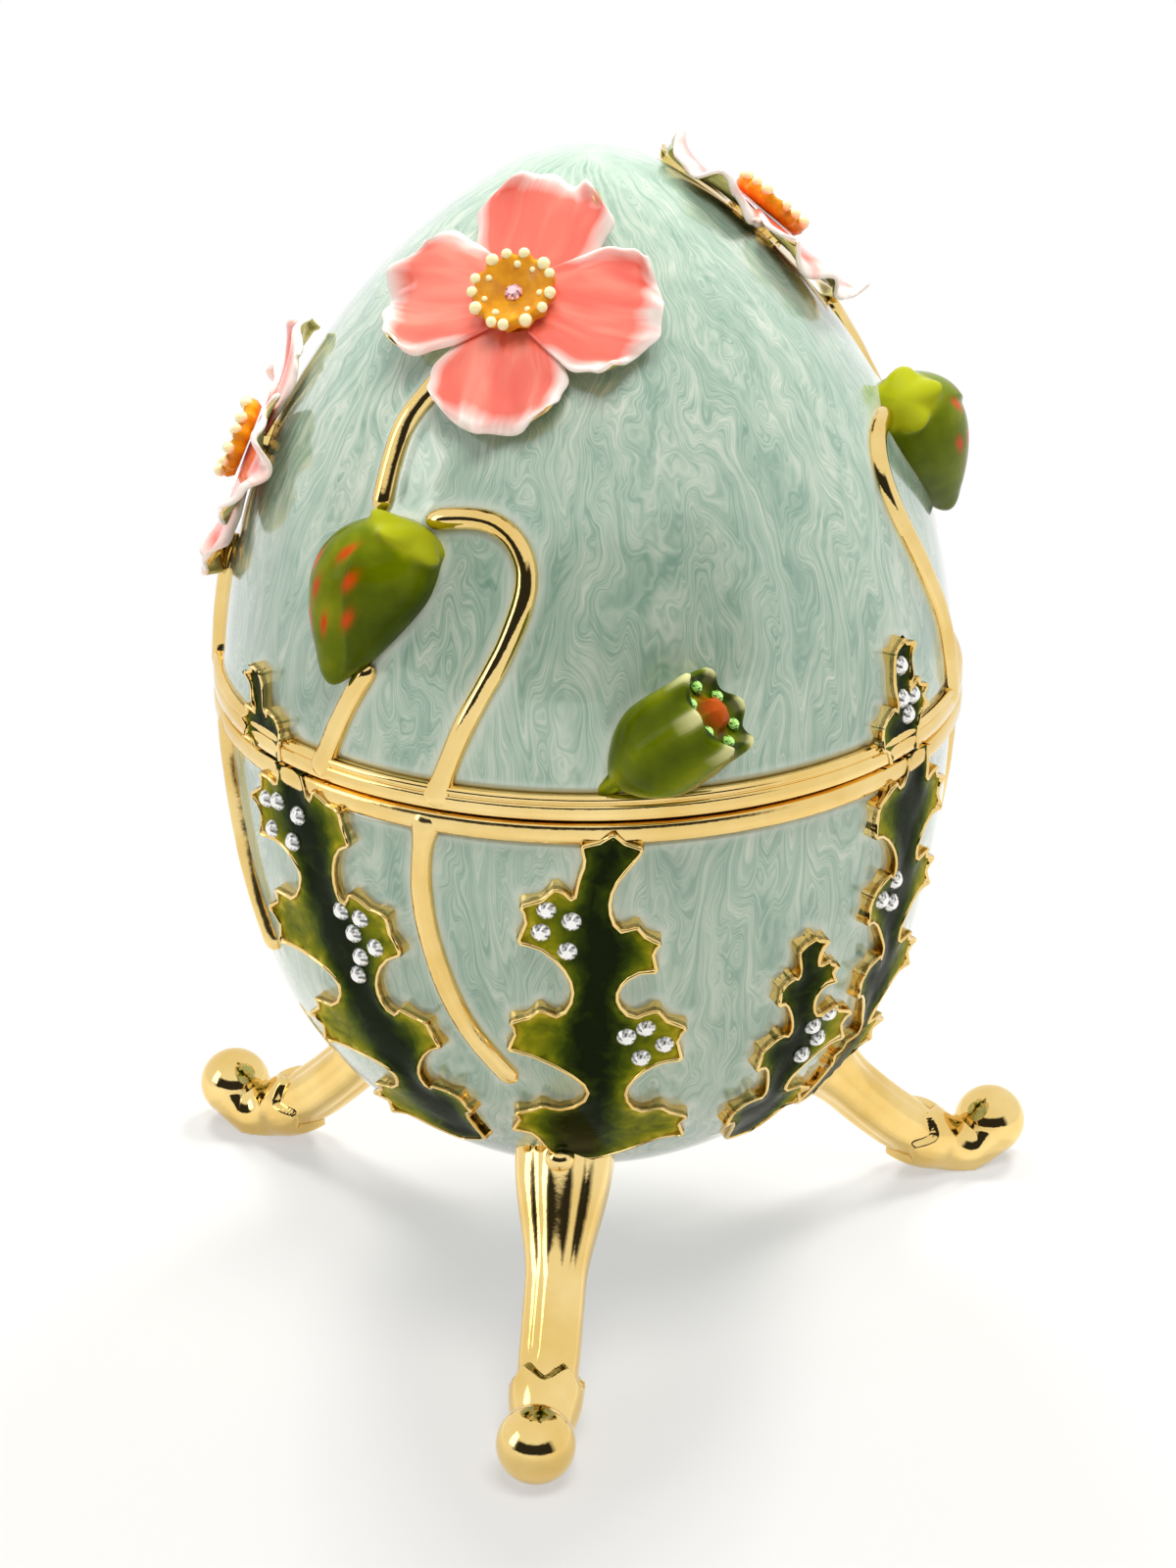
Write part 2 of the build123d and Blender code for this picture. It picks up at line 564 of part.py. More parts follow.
def save_egg():
    """Shells, enamel, rims and collar."""
    roots = leg_root_hole().values()
    for half in ("cup", "lid"):
        body, skin = shell(half), enamel(half)
        if half == "cup":
            for root in roots:
                hole = root * Cylinder(leg_peg_radius + bond_line, relief_reach)
                body -= hole
                skin -= hole
        save(f"{half}_shell", body)
        save(f"{half}_enamel", skin)
        save(f"{half}_rim", rim_ring(half, -enamel_thickness, rim_proud, 0.0))
    save("locating_collar", locating_collar())
    cup_leaf, lid_leaf, pin = hinge_leaves()
    save("cup_hinge", cup_leaf)
    save("lid_hinge", lid_leaf)
    save("hinge_pin", pin)


def save_leaves():
    """Trays one by one, fills grouped by kind, stones grouped by half of the egg."""
    leg_leaves = {f"{name}_leg_leaf": turned_leaf(leg_leaf, turn) for name, turn in leg_leaf_turns.items()}
    groups = {
        "leg_leaf_enamel": leg_leaves,
        "side_leaf_enamel": {"left_side_leaf": left_side_leaf, "right_side_leaf": right_side_leaf},
        "small_leaf_enamel": {"right_small_leaf": right_small_leaf, "back_small_leaf": back_small_leaf},
        "leaf_tip_enamel": {"left_leaf_tip": left_leaf_tip, "right_leaf_tip": right_leaf_tip},
    }
    stones = {"cup": [], "lid": []}
    for enamel_name, leaves in groups.items():
        fills = []
        for name, leaf in leaves.items():
            tray, fill, leaf_stones = leaf_parts(leaf)
            save(name, tray)
            fills.append(fill)
            stones[leaf[0]] += leaf_stones
        save(enamel_name, *fills)
    for half, group in stones.items():
        save(f"{half}_leaf_stones", *group)


def save_flowers():
    """Petal pairs one by one, the small like pieces grouped."""
    groups = {"flower_discs": [], "flower_stones": [], "flower_posts": []}
    for name, spot in flower_spots.items():
        lower, upper, *small = flower_parts(*spot)
        save(f"{name}_lower_petals", lower)
        save(f"{name}_upper_petals", upper)
        for group, part in zip(groups.values(), small):
            group.append(part)
    for name, group in groups.items():
        save(name, *group)


def save_stems_buds_pods():
    """Stems, buds and pods one by one, pod stones grouped."""
    for name, (half, route) in stem_routes.items():
        save(name, stem(half, route))
    for name, spot in bud_spots.items():
        save(name, bud(*spot))
    stones = []
    for name, spot in pod_spots.items():
        body, pod_stones = pod(*spot)
        save(name, body)
        stones += pod_stones
    save("pod_stones", *stones)


def save_legs():
    """Three legs alike."""
    front = leg()
    for name, azimuth in leg_azimuths.items():
        save(f"{name}_leg", Rot(0, 0, azimuth) * front)


os.makedirs("parts", exist_ok=True)
save_egg()
save_legs()
save_leaves()
save_flowers()
save_stems_buds_pods()
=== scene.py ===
import json
from math import asin, atan, atan2, cos, exp, hypot, pi, radians, sin, sqrt, tan

import bmesh
import bpy
from mathutils import Matrix, Vector, kdtree, noise

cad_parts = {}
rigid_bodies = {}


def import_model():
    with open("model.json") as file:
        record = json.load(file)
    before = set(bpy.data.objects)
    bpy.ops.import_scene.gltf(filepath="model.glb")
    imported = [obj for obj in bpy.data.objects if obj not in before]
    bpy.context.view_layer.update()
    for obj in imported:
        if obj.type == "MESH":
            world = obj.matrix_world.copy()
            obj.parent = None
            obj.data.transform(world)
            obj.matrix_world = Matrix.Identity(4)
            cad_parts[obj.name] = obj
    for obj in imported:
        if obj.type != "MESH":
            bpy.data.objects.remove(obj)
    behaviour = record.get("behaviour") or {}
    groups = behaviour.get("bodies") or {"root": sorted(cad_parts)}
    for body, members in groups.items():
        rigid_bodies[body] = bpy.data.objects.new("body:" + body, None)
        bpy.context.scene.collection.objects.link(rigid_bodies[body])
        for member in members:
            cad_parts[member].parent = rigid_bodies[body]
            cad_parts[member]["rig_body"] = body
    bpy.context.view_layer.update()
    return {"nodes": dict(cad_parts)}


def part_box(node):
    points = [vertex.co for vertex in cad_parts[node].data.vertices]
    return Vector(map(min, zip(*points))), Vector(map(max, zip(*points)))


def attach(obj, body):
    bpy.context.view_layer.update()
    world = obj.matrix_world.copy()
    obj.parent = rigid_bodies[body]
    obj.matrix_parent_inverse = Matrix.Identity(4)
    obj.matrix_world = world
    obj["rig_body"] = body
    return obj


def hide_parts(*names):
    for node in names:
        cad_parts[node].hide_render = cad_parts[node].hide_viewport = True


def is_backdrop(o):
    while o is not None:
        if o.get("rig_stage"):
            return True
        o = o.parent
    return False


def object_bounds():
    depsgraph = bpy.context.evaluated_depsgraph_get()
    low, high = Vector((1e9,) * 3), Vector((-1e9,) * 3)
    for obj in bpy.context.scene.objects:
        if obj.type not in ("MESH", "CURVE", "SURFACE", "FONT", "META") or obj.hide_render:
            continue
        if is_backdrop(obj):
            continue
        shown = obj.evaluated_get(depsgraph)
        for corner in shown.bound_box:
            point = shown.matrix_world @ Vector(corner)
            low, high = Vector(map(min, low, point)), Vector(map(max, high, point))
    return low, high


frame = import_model()
scene = bpy.context.scene
print("frame loaded:", len(frame["nodes"]), "solids")

# everything is modelled in millimetres about the egg's own axis, then carried into the frame
egg = {"radius": 33.0, "seam": 58.5, "lidRise": 48.8, "cupDepth": 46.2, "lidSide": 55.4, "cupSide": 107.5,
       "lidRim": 2.6, "cupRim": 1.9, "slit": 0.4, "enamel": 0.5, "bond": 0.05, "wall": 1.8, "sunk": 0.4,
       "contact": 0.25}
upward = {"lid": 1, "cup": -1}
skinLow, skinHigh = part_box("lid_enamel")
eggAxis = Vector(((skinLow.x + skinHigh.x) / 2, (skinLow.y + skinHigh.y) / 2, 0.0))
millimetre = 0.001
toFrame = Matrix.Translation(eggAxis) @ Matrix.Scale(millimetre, 4)


def ease(low, high, value):  # from 0 at low to 1 at high
    share = min(1.0, max(0.0, (value - low) / (high - low)))
    return share * share * (3 - 2 * share)


def eggArcs(half):  # the side arc by the seam and the cap arc over the pole
    rise, side = (egg["lidRise"], egg["lidSide"]) if half == "lid" else (egg["cupDepth"], egg["cupSide"])
    inset = side - egg["radius"]
    join = pi / 2 - 2 * atan((side - rise) / inset)
    return inset, join, side, side - inset / cos(join), inset * tan(join)


arcs = {half: eggArcs(half) for half in upward}


def placeFrom(x, y, z, spot):  # three axes and where they meet
    place = Matrix((x, y, z)).transposed().to_4x4()
    place.translation = spot
    return place


def surfaceFrame(azimuth, height, lift=0.0, turn=0.0, tip=0.0):  # x right, y up the egg, z outwards
    half = "lid" if height >= 0 else "cup"
    inset, join, side, cap, capCentre = arcs[half]
    rise = abs(height)
    if rise <= side * sin(join):
        lean = asin(rise / side)
        radius = side * cos(lean) - inset
    else:
        lean = asin(min(1.0, (rise - capCentre) / cap))
        radius = cap * cos(lean)
    around = radians(azimuth)
    out = Vector((sin(around) * cos(lean), -cos(around) * cos(lean), upward[half] * sin(lean)))
    right = Vector((cos(around), sin(around), 0.0))
    spot = Vector((radius * sin(around), -radius * cos(around), egg["seam"] + height))
    place = placeFrom(right, out.cross(right), out, spot + out * lift)
    return place @ Matrix.Rotation(radians(turn), 4, "Z") @ Matrix.Rotation(radians(-tip), 4, "Y")


def eggDistance(point):  # how far it is off the egg, and the way out from there
    half = "lid" if point.z >= egg["seam"] else "cup"
    inset, join, side, cap, capCentre = arcs[half]
    rise = abs(point.z - egg["seam"])
    radius = hypot(point.x, point.y)
    lean = atan2(rise, radius + inset)
    distance = hypot(rise, radius + inset) - side
    if lean > join:
        lean = atan2(rise - capCentre, radius)
        distance = hypot(rise - capCentre, radius) - cap
    across = cos(lean) / max(radius, 1e-6)
    return distance, Vector((point.x * across, point.y * across, upward[half] * sin(lean)))


seating = {"steps": 7, "leastSlope": 0.35}


def seatOn(place, x, y, lift):  # straight down the place's own z until it is lifted off the egg by that much
    point = place @ Vector((x, y, 0.0))
    down = place.col[2].to_3d()
    for step in range(seating["steps"]):
        distance, normal = eggDistance(point)
        point = point - down * ((distance - lift) / max(seating["leastSlope"], normal.dot(down)))
    return point


def wrap(bm, place):  # bends flat work round the egg
    for vert in bm.verts:
        vert.co = seatOn(place, vert.co.x, vert.co.y, vert.co.z)


def keepOut(verts, depth):  # nothing applied on the egg goes deeper than this into its wall
    for vert in verts:
        distance, normal = eggDistance(vert.co)
        if distance < -depth:
            vert.co = vert.co + normal * (-depth - distance)


def move(bm, matrix):
    bmesh.ops.transform(bm, matrix=matrix, verts=bm.verts)


def outward(bm):
    bmesh.ops.recalc_face_normals(bm, faces=bm.faces)


def settle(bm, place):  # onto the egg, and its foot is noted for the aqua enamel
    move(bm, place)
    keepOut(bm.verts, egg["sunk"])
    outward(bm)
    goldBorders.extend(vert.co.copy() for vert in bm.verts if abs(eggDistance(vert.co)[0]) < egg["contact"])


def finishPiece(bm, name, node, materials, smooth=True, sharp=None):
    move(bm, toFrame)
    for face in bm.faces:
        face.smooth = smooth
    mesh = bpy.data.meshes.new(name)
    bm.to_mesh(mesh)
    bm.free()
    if sharp:
        mesh.set_sharp_from_angle(angle=radians(sharp))
    for material in materials:
        mesh.materials.append(material)
    piece = bpy.data.objects.new(name, mesh)
    scene.collection.objects.link(piece)
    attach(piece, frame["nodes"][node]["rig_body"])
    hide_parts(node)
    return piece


def addMesh(bm, part):  # joins one bmesh into another, attributes too
    spare = bpy.data.meshes.new("spare")
    part.to_mesh(spare)
    part.free()
    bm.from_mesh(spare)
    bpy.data.meshes.remove(spare)


def newLayers(bm, *names):  # values on the vertices, for the materials to read
    return [bm.verts.layers.float.new(name) for name in names]


def thicken(piece, name, thickness):
    sheet = piece.modifiers.new(name, "SOLIDIFY")
    sheet.thickness, sheet.offset = thickness * millimetre, -1.0
    return sheet


def spun(profile, steps, closed=False):
    bm = bmesh.new()
    verts = [bm.verts.new((radius, 0.0, height)) for radius, height in profile]
    edges = [bm.edges.new(pair) for pair in zip(verts, verts[1:])]
    if closed:
        edges.append(bm.edges.new((verts[-1], verts[0])))
    bmesh.ops.spin(bm, geom=verts + edges, cent=(0, 0, 0), axis=(0, 0, 1), angle=2 * pi, steps=steps,
                   use_merge=True)
    bmesh.ops.remove_doubles(bm, verts=bm.verts, dist=1e-4)
    outward(bm)
    return bm


def cutAt(bm, spot, normal, clear=False):
    bmesh.ops.bisect_plane(bm, geom=bm.verts[:] + bm.edges[:] + bm.faces[:], dist=1e-5, plane_co=spot,
                           plane_no=normal, clear_inner=clear)


def treeOf(points):  # for finding the nearest of them
    tree = kdtree.KDTree(len(points))
    for index, point in enumerate(points):
        tree.insert(point, index)
    tree.balance()
    return tree


def ringEdges(verts):
    ring = set(verts)
    linked = (edge for vert in verts for edge in vert.link_edges if edge.other_vert(vert) in ring)
    return list(dict.fromkeys(linked))  # each once, in order


def grow(bm, edges):  # a new loop out of a loop of edges
    grown = bmesh.ops.extrude_edge_only(bm, edges=edges)["geom"]
    ring = [item for item in grown if isinstance(item, bmesh.types.BMVert)]
    return ring, ringEdges(ring)


def sweep(bm, places, sides):  # a round section carried from place to place
    ring = bmesh.ops.create_circle(bm, cap_ends=True, radius=1.0, segments=sides, matrix=places[0])["verts"]
    made, edges = list(ring), ringEdges(ring)
    for before, after in zip(places, places[1:]):
        ring, edges = grow(bm, edges)
        bmesh.ops.transform(bm, matrix=after @ before.inverted(), verts=ring)
        made += ring
    bmesh.ops.contextual_create(bm, geom=edges)
    return made


# materials
def feed(socket, value):  # a plain value, or another socket wired in
    if isinstance(value, bpy.types.NodeSocket):
        socket.id_data.links.new(value, socket)
    elif value is not None:
        socket.default_value = value


def shaderNode(tree, kind, **settings):
    node = tree.nodes.new("ShaderNode" + kind)
    for name, value in settings.items():
        if name.startswith("in_"):
            feed(node.inputs[name[3:].replace("_", " ")], value)
        else:
            setattr(node, name, value)
    return node


def mathNode(operation, first, second=None, third=None):
    node = shaderNode(first.id_data, "Math", operation=operation)
    for socket, value in zip(node.inputs, (first, second, third)):
        feed(socket, value)
    return node.outputs[0]


def scaled(value, share, plus=0.0):
    return mathNode("MULTIPLY_ADD", value, share, plus)


def drifted(value, cloud, share):  # moved up and down by a noise
    return scaled(mathNode("SUBTRACT", cloud, 0.5), share, value)


def ramp(source, stops):  # each stop is a place with a colour as it is seen, or a linear grey
    node = shaderNode(source.id_data, "ValToRGB", in_Fac=source)
    elements = node.color_ramp.elements
    while len(elements) < len(stops):
        elements.new(0.5)
    for element, (place, colour) in zip(elements, stops):
        element.position = place
        element.color = srgb(*colour) if isinstance(colour, tuple) else (colour, colour, colour, 1.0)
    return node.outputs["Color"]


def mixColour(factor, first, second):
    node = shaderNode(factor.id_data, "Mix", data_type="RGBA")
    for index, value in ((0, factor), (6, first), (7, second)):
        feed(node.inputs[index], value)
    return node.outputs[2]


def srgb(*levels):  # a colour as it is seen, made linear
    shares = [level / 255 for level in levels]
    return (*(s / 12.92 if s <= 0.04045 else ((s + 0.055) / 1.055) ** 2.4 for s in shares), 1.0)


def newMaterial(name, **sockets):
    material = bpy.data.materials.new(name)
    material.use_nodes = True
    tree = material.node_tree
    shader = tree.nodes["Principled BSDF"].inputs
    for socket, value in sockets.items():
        feed(shader[socket.replace("_", " ")], value)
    return material, tree, shader


def surfaceMillimetres(tree):  # object coordinates about the egg's axis, in millimetres
    coords = shaderNode(tree, "TexCoord").outputs["Object"]
    shift = shaderNode(tree, "Mapping", in_Vector=coords, in_Scale=(1 / millimetre,) * 3,
                       in_Location=tuple(-value / millimetre for value in eggAxis))
    return shift.outputs["Vector"]


def attribute(tree, name):
    return shaderNode(tree, "Attribute", attribute_name=name).outputs["Fac"]


def newGroup(name, inputs, outputs):  # an input without a number is a vector
    tree = bpy.data.node_groups.new(name, "ShaderNodeTree")
    for socket, value in inputs.items():
        kind = "NodeSocketVector" if value is None else "NodeSocketFloat"
        feed(tree.interface.new_socket(socket, in_out="INPUT", socket_type=kind), value)
    for socket in outputs:
        tree.interface.new_socket(socket, in_out="OUTPUT", socket_type="NodeSocketFloat")
    return tree, tree.nodes.new("NodeGroupInput").outputs, tree.nodes.new("NodeGroupOutput").inputs


def placeGroup(tree, group, **inputs):
    node = shaderNode(tree, "Group", node_tree=group)
    for name, value in inputs.items():
        feed(node.inputs[name], value)
    return node.outputs


def noiseFac(vector, scale, detail=2.0, roughness=0.5, distortion=0.0):
    return shaderNode(vector.id_data, "TexNoise", in_Vector=vector, in_Scale=scale, in_Detail=detail,
                      in_Roughness=roughness, in_Distortion=distortion).outputs["Fac"]


def castGrainGroup():  # slow tone drift, fine polish marks and soft casting ripple, for the gold
    tree, given, out = newGroup("castGrain", {"Vector": None, "Grain": 2.0, "Ripple": 0.3},
                                ("Tone", "Polish", "Height"))
    fine = noiseFac(given["Vector"], given["Grain"], 3.0)
    feed(out["Tone"], noiseFac(given["Vector"], 0.16, 3.0))
    feed(out["Polish"], fine)
    feed(out["Height"], scaled(fine, 0.12, noiseFac(given["Vector"], given["Ripple"])))
    return tree


def stretched(x, y, z, scale):
    lay = shaderNode(x.id_data, "CombineXYZ")
    for socket, value, share in zip(lay.inputs, (x, y, z), scale):
        feed(socket, scaled(value, share))
    return lay.outputs[0]


def pearlSwirlGroup():  # combed enamel: bands across the egg, drawn by a comb into long nested bows
    tree, given, out = newGroup("pearlSwirl", {"Vector": None}, ("Shade", "Line", "Drift"))
    x, y, z = shaderNode(tree, "SeparateXYZ", in_Vector=given["Vector"]).outputs
    around = mathNode("ARCTAN2", x, scaled(y, -1.0))
    tall = stretched(x, y, z, (1.0, 1.0, 0.34))
    quick = noiseFac(tall, 0.2, 2.0, 0.5, 0.3)
    wander = scaled(noiseFac(tall, 0.06), 9.0, scaled(quick, 4.6))
    stroke = mathNode("ABSOLUTE", mathNode("SINE", scaled(around, 11.0, wander)))
    pulled = scaled(quick, 8.0, scaled(z, 0.6))
    lay = stretched(x, y, scaled(stroke, 20.0, pulled), (0.1, 0.1, 0.24))
    line = mathNode("PINGPONG", scaled(noiseFac(lay, 1.5, 3.0, 0.55, 0.3), 7.0), 0.5)
    feed(out["Shade"], noiseFac(lay, 0.8, 4.0, 0.6, 0.3))
    feed(out["Line"], scaled(line, 2.0))
    feed(out["Drift"], noiseFac(tall, 0.34, 3.0, 0.6, 0.4))
    return tree


castGrain = castGrainGroup()
pearlSwirl = pearlSwirlGroup()


def dented(tree, shader, height, strength, depth=0.0004):
    bump = shaderNode(tree, "Bump", in_Strength=strength, in_Distance=depth, in_Height=height)
    feed(shader["Normal"], bump.outputs["Normal"])


def goldFinish(name, roughness, satin, bump):
    material, tree, shader = newMaterial(name, Metallic=1.0)
    cast = placeGroup(tree, castGrain, Vector=surfaceMillimetres(tree), Grain=3.2, Ripple=0.35)
    feed(shader["Base Color"], ramp(cast["Tone"], [(0.3, (230, 194, 114)), (0.7, (244, 216, 148))]))
    feed(shader["Roughness"], scaled(cast["Polish"], satin, roughness))
    dented(tree, shader, cast["Height"], bump)
    return material


def aquaFinish():  # pearly swirls, paler where the enamel laps up to the gold
    material, tree, shader = newMaterial("aquaEnamel", Roughness=0.2, Coat_Weight=1.0, Coat_Roughness=0.03,
                                         Metallic=0.08)
    spot = surfaceMillimetres(tree)
    swirl = placeGroup(tree, pearlSwirl, Vector=spot)
    cloud = scaled(swirl["Drift"], 0.35, scaled(swirl["Shade"], 0.62))
    body = ramp(scaled(swirl["Line"], 0.16, cloud),
                [(0.36, (124, 158, 139)), (0.48, (148, 175, 155)), (0.56, (164, 187, 167)),
                 (0.64, (181, 198, 179)), (0.76, (205, 213, 195))])
    near = attribute(tree, "border")
    border = ramp(near, [(0.0, (163, 191, 174)), (0.55, (206, 217, 204)), (0.86, (212, 217, 194)),
                         (1.0, (186, 180, 126))])
    feed(shader["Base Color"], mixColour(mathNode("POWER", near, 1.2), body, border))
    dented(tree, shader, noiseFac(spot, 0.3), 0.06)
    return material


def leafFinish():  # clear green over gold: nearly black where it pools on the rib, amber at the thin edges
    material, tree, shader = newMaterial("leafEnamel", Roughness=0.12, Coat_Weight=0.02, Coat_Roughness=0.02,
                                         Specular_IOR_Level=0.03)
    spot = surfaceMillimetres(tree)
    tone = drifted(attribute(tree, "thin"), noiseFac(spot, 0.42, 3.0, 0.6, 0.8), 0.75)
    green = ramp(tone, [(0.05, (18, 28, 2)), (0.3, (46, 60, 3)), (0.55, (86, 98, 6)),
                        (0.8, (136, 136, 14)), (1.0, (188, 172, 40))])
    feed(shader["Base Color"], green)
    dented(tree, shader, noiseFac(spot, 0.5), 0.12, 0.0005)
    return material


def petalFinish():  # coral, washed out to white lips
    material, tree, shader = newMaterial("coralEnamel", Roughness=0.22, Coat_Weight=0.6, Coat_Roughness=0.04,
                                         Subsurface_Weight=0.12, Subsurface_Scale=1.0,
                                         Subsurface_Radius=(0.0012, 0.0006, 0.0005))
    lay = stretched(*(attribute(tree, name) for name in ("across", "along", "which")), (2.6, 0.9, 1.0))
    streak = noiseFac(lay, 1.0, 3.0, 0.5, 0.7)
    coral = ramp(streak, [(0.3, (244, 95, 77)), (0.5, (247, 114, 93)), (0.72, (250, 142, 120))])
    lip = drifted(attribute(tree, "edge"), streak, 1.1)
    wash = ramp(lip, [(0.36, 0.0), (0.7, 0.45), (0.98, 1.0)])
    feed(shader["Base Color"], mixColour(wash, coral, srgb(252, 234, 224)))
    return material


def budFinish():  # olive with orange dashes, cream lips and rust crowns, for buds and pods; the olive tone carries painted light and shade
    material, tree, shader = newMaterial("oliveEnamel", Roughness=0.12, Coat_Weight=0.04, Coat_Roughness=0.02,
                                         Specular_IOR_Level=0.04)
    cloud = noiseFac(surfaceMillimetres(tree), 0.3, 3.0)
    # the first mark is painted light and shade: lighter and darker olive that stands in for how the light falls
    tone = drifted(attribute(tree, "paintedShading"), cloud, 0.6)
    colour = ramp(tone, [(0.0, (38, 50, 0)), (0.35, (70, 84, 0)), (0.65, (100, 114, 2)),
                         (1.0, (156, 160, 22))])
    for mark, tint in (("dash", (202, 74, 14)), ("cream", (226, 222, 160)), ("rust", (176, 74, 16))):
        colour = mixColour(attribute(tree, mark), colour, srgb(*tint))
    feed(shader["Base Color"], colour)
    dented(tree, shader, cloud, 0.08)
    return material


def dishFinish():  # amber, with cream stamen beads
    material, tree, shader = newMaterial("amberEnamel", Roughness=0.2, Coat_Weight=0.15, Coat_Roughness=0.04,
                                         Specular_IOR_Level=0.2)
    cloud = noiseFac(surfaceMillimetres(tree), 0.9, 3.0)
    amber = ramp(cloud, [(0.3, (202, 126, 4)), (0.7, (230, 158, 12))])
    feed(shader["Base Color"], mixColour(attribute(tree, "bead"), amber, srgb(252, 240, 184)))
    return material


def stoneFinish(name, deep, bright):  # cut glass on foil, each facet painted with its own glint, a painted reflection from dark to bright
    material, tree, shader = newMaterial(name, Roughness=0.04, Coat_Weight=1.0, Coat_Roughness=0.0,
                                         Metallic=0.3)
    feed(shader["Base Color"], ramp(attribute(tree, "paintedGlint"), [(0.1, deep), (0.55, bright)]))
    return material


polishedGold = goldFinish("polishedGold", 0.03, 0.07, 0.12)
satinGold = goldFinish("satinGold", 0.1, 0.14, 0.2)
aquaEnamel = aquaFinish()
leafEnamel = leafFinish()
coralEnamel = petalFinish()
oliveEnamel = budFinish()
amberEnamel = dishFinish()
clearStone = stoneFinish("clearStone", (116, 118, 114), (252, 252, 250))
greenStone = stoneFinish("greenStone", (40, 104, 14), (176, 238, 104))
pinkStone = stoneFinish("pinkStone", (170, 84, 106), (252, 208, 216))
print("materials made")

goldBorders = []  # where gold or green meets the aqua, in millimetres


# stems
stemForm = {"halfWidth": 0.98, "rise": 0.98, "lift": 0.16, "sunk": 0.45, "flare": 0.55, "flareFrom": 4.4,
            "flareTo": 0.6, "taper": (0.5, 0.86, 1.0), "wobble": 0.06, "border": 0.97, "pitch": 0.7,
            "sides": 16}
budHook = [(-16.9, 0.5), (-12.5, 7.6), (-6.4, 14.8), (-3.9, 19.5), (-5.4, 22.3), (-9.5, 23.9),
           (-14.9, 24.2), (-22.4, 23.6)]
cupBranch = [(-18.0, -0.1), (-19.4, -7.0), (-18.1, -13.5), (-14.1, -20.2), (-6.6, -26.4)]
stemRoutes = {
    "top_flower_stem": [(-25.6, 35.7), (-29.4, 33.0), (-33.0, 29.6), (-32.2, 23.4)],
    "front_side_stem": [(-28.6, 11.4), (-33.0, 6.6), (-37.4, 0.5)],
    "left_flower_stem": [(-86.4, 13.0), (-85.0, 9.5), (-84.0, 0.5)],
    "right_flower_stem": [(114.0, 33.0), (117.0, 27.0), (116.0, 20.0), (111.0, 12.0), (113.0, 0.5)],
    "front_bud_stem": budHook,
    "back_bud_stem": [(azimuth - 136.6, height) for azimuth, height in budHook],
    "right_bud_stem": [(81.0, 0.5), (78.9, 8.3), (73.6, 14.9), (69.6, 20.6), (70.4, 24.2), (75.0, 26.1),
                       (84.6, 26.6)],
    "front_cup_stem": cupBranch,
    "right_cup_stem": [(azimuth + 120.0, height) for azimuth, height in cupBranch],
    "left_cup_stem": [(azimuth - 112.0, height) for azimuth, height in cupBranch],
    "side_cup_stem": [(-69.4, -0.1), (-67.0, -5.5), (-65.0, -10.5), (-62.5, -15.5), (-57.4, -21.0)],
}


def easedRoute(route):  # a curve through all the places, with its spacing in millimetres
    padded = [route[0], *route, route[-1]]
    points = []
    for first, start, end, last in zip(padded, padded[1:], padded[2:], padded[3:]):
        gap = (surfaceFrame(*end).translation - surfaceFrame(*start).translation).length
        count = max(2, round(gap / stemForm["pitch"]))
        for step in range(count):
            t = step / count
            points.append(tuple(0.5 * (2 * b + (c - a) * t + (2 * a - 5 * b + 4 * c - d) * t * t
                                       + (3 * b - a - 3 * c + d) * t ** 3)
                                for a, b, c, d in zip(first, start, end, last)))
    points.append(route[-1])
    return points


def stemPiece(node, route):
    bm = bmesh.new()
    points = easedRoute(route)
    seats = [surfaceFrame(*point) for point in points]
    places = []
    for index, seat in enumerate(seats):
        ahead = seats[min(index + 1, len(seats) - 1)].translation - seats[max(index - 1, 0)].translation
        forward = ahead.normalized()
        out = seat.col[2].to_3d()
        side = forward.cross(out).normalized()
        nearRim = ease(stemForm["flareFrom"], stemForm["flareTo"], abs(points[index][1]))
        width = stemForm["halfWidth"] * (1 + stemForm["flare"] * nearRim ** 2)
        fromEnd = min(index, len(seats) - 1 - index)
        scale = 1 + stemForm["wobble"] * noise.noise(seat.translation * 0.35)
        scale *= stemForm["taper"][min(2, fromEnd)]
        places.append(placeFrom(side * width * scale, out * stemForm["rise"] * scale, -forward,
                                seat.translation + out * stemForm["lift"]))
        edge = side * width * stemForm["border"]
        goldBorders.extend((seat.translation + edge, seat.translation - edge))
    made = sweep(bm, places, stemForm["sides"])
    outward(bm)
    keepOut(made, stemForm["sunk"])
    finish = satinGold if "cup" in node else polishedGold
    finishPiece(bm, "stem_" + node.replace("_stem", ""), node, [finish], sharp=50)


for stemNode, stemRoute in stemRoutes.items():
    stemPiece(stemNode, stemRoute)
print("stems laid:", len(stemRoutes))


# leaves
leafForm = {"waist": 1.7, "slant": 26.0, "toothDepth": 0.34, "toothAngles": (80, 52, 26, 0, -26, -52, -80),
            "wallTop": 0.5, "rimSteps": ((0.10, 0.88), (0.12, 1.04), (0.14, 1.04), (0.10, 0.9)), "foot": -0.3,
            "fill": 0.92, "dish": 0.26, "pour": 0.6, "gridPitch": 0.6, "knob": 0.45, "knobReach": 0.9,
            "stoneLift": 0.72, "ribThin": 0.68, "shoreThin": 0.3, "shoreRun": 1.3, "dishRun": 1.5}
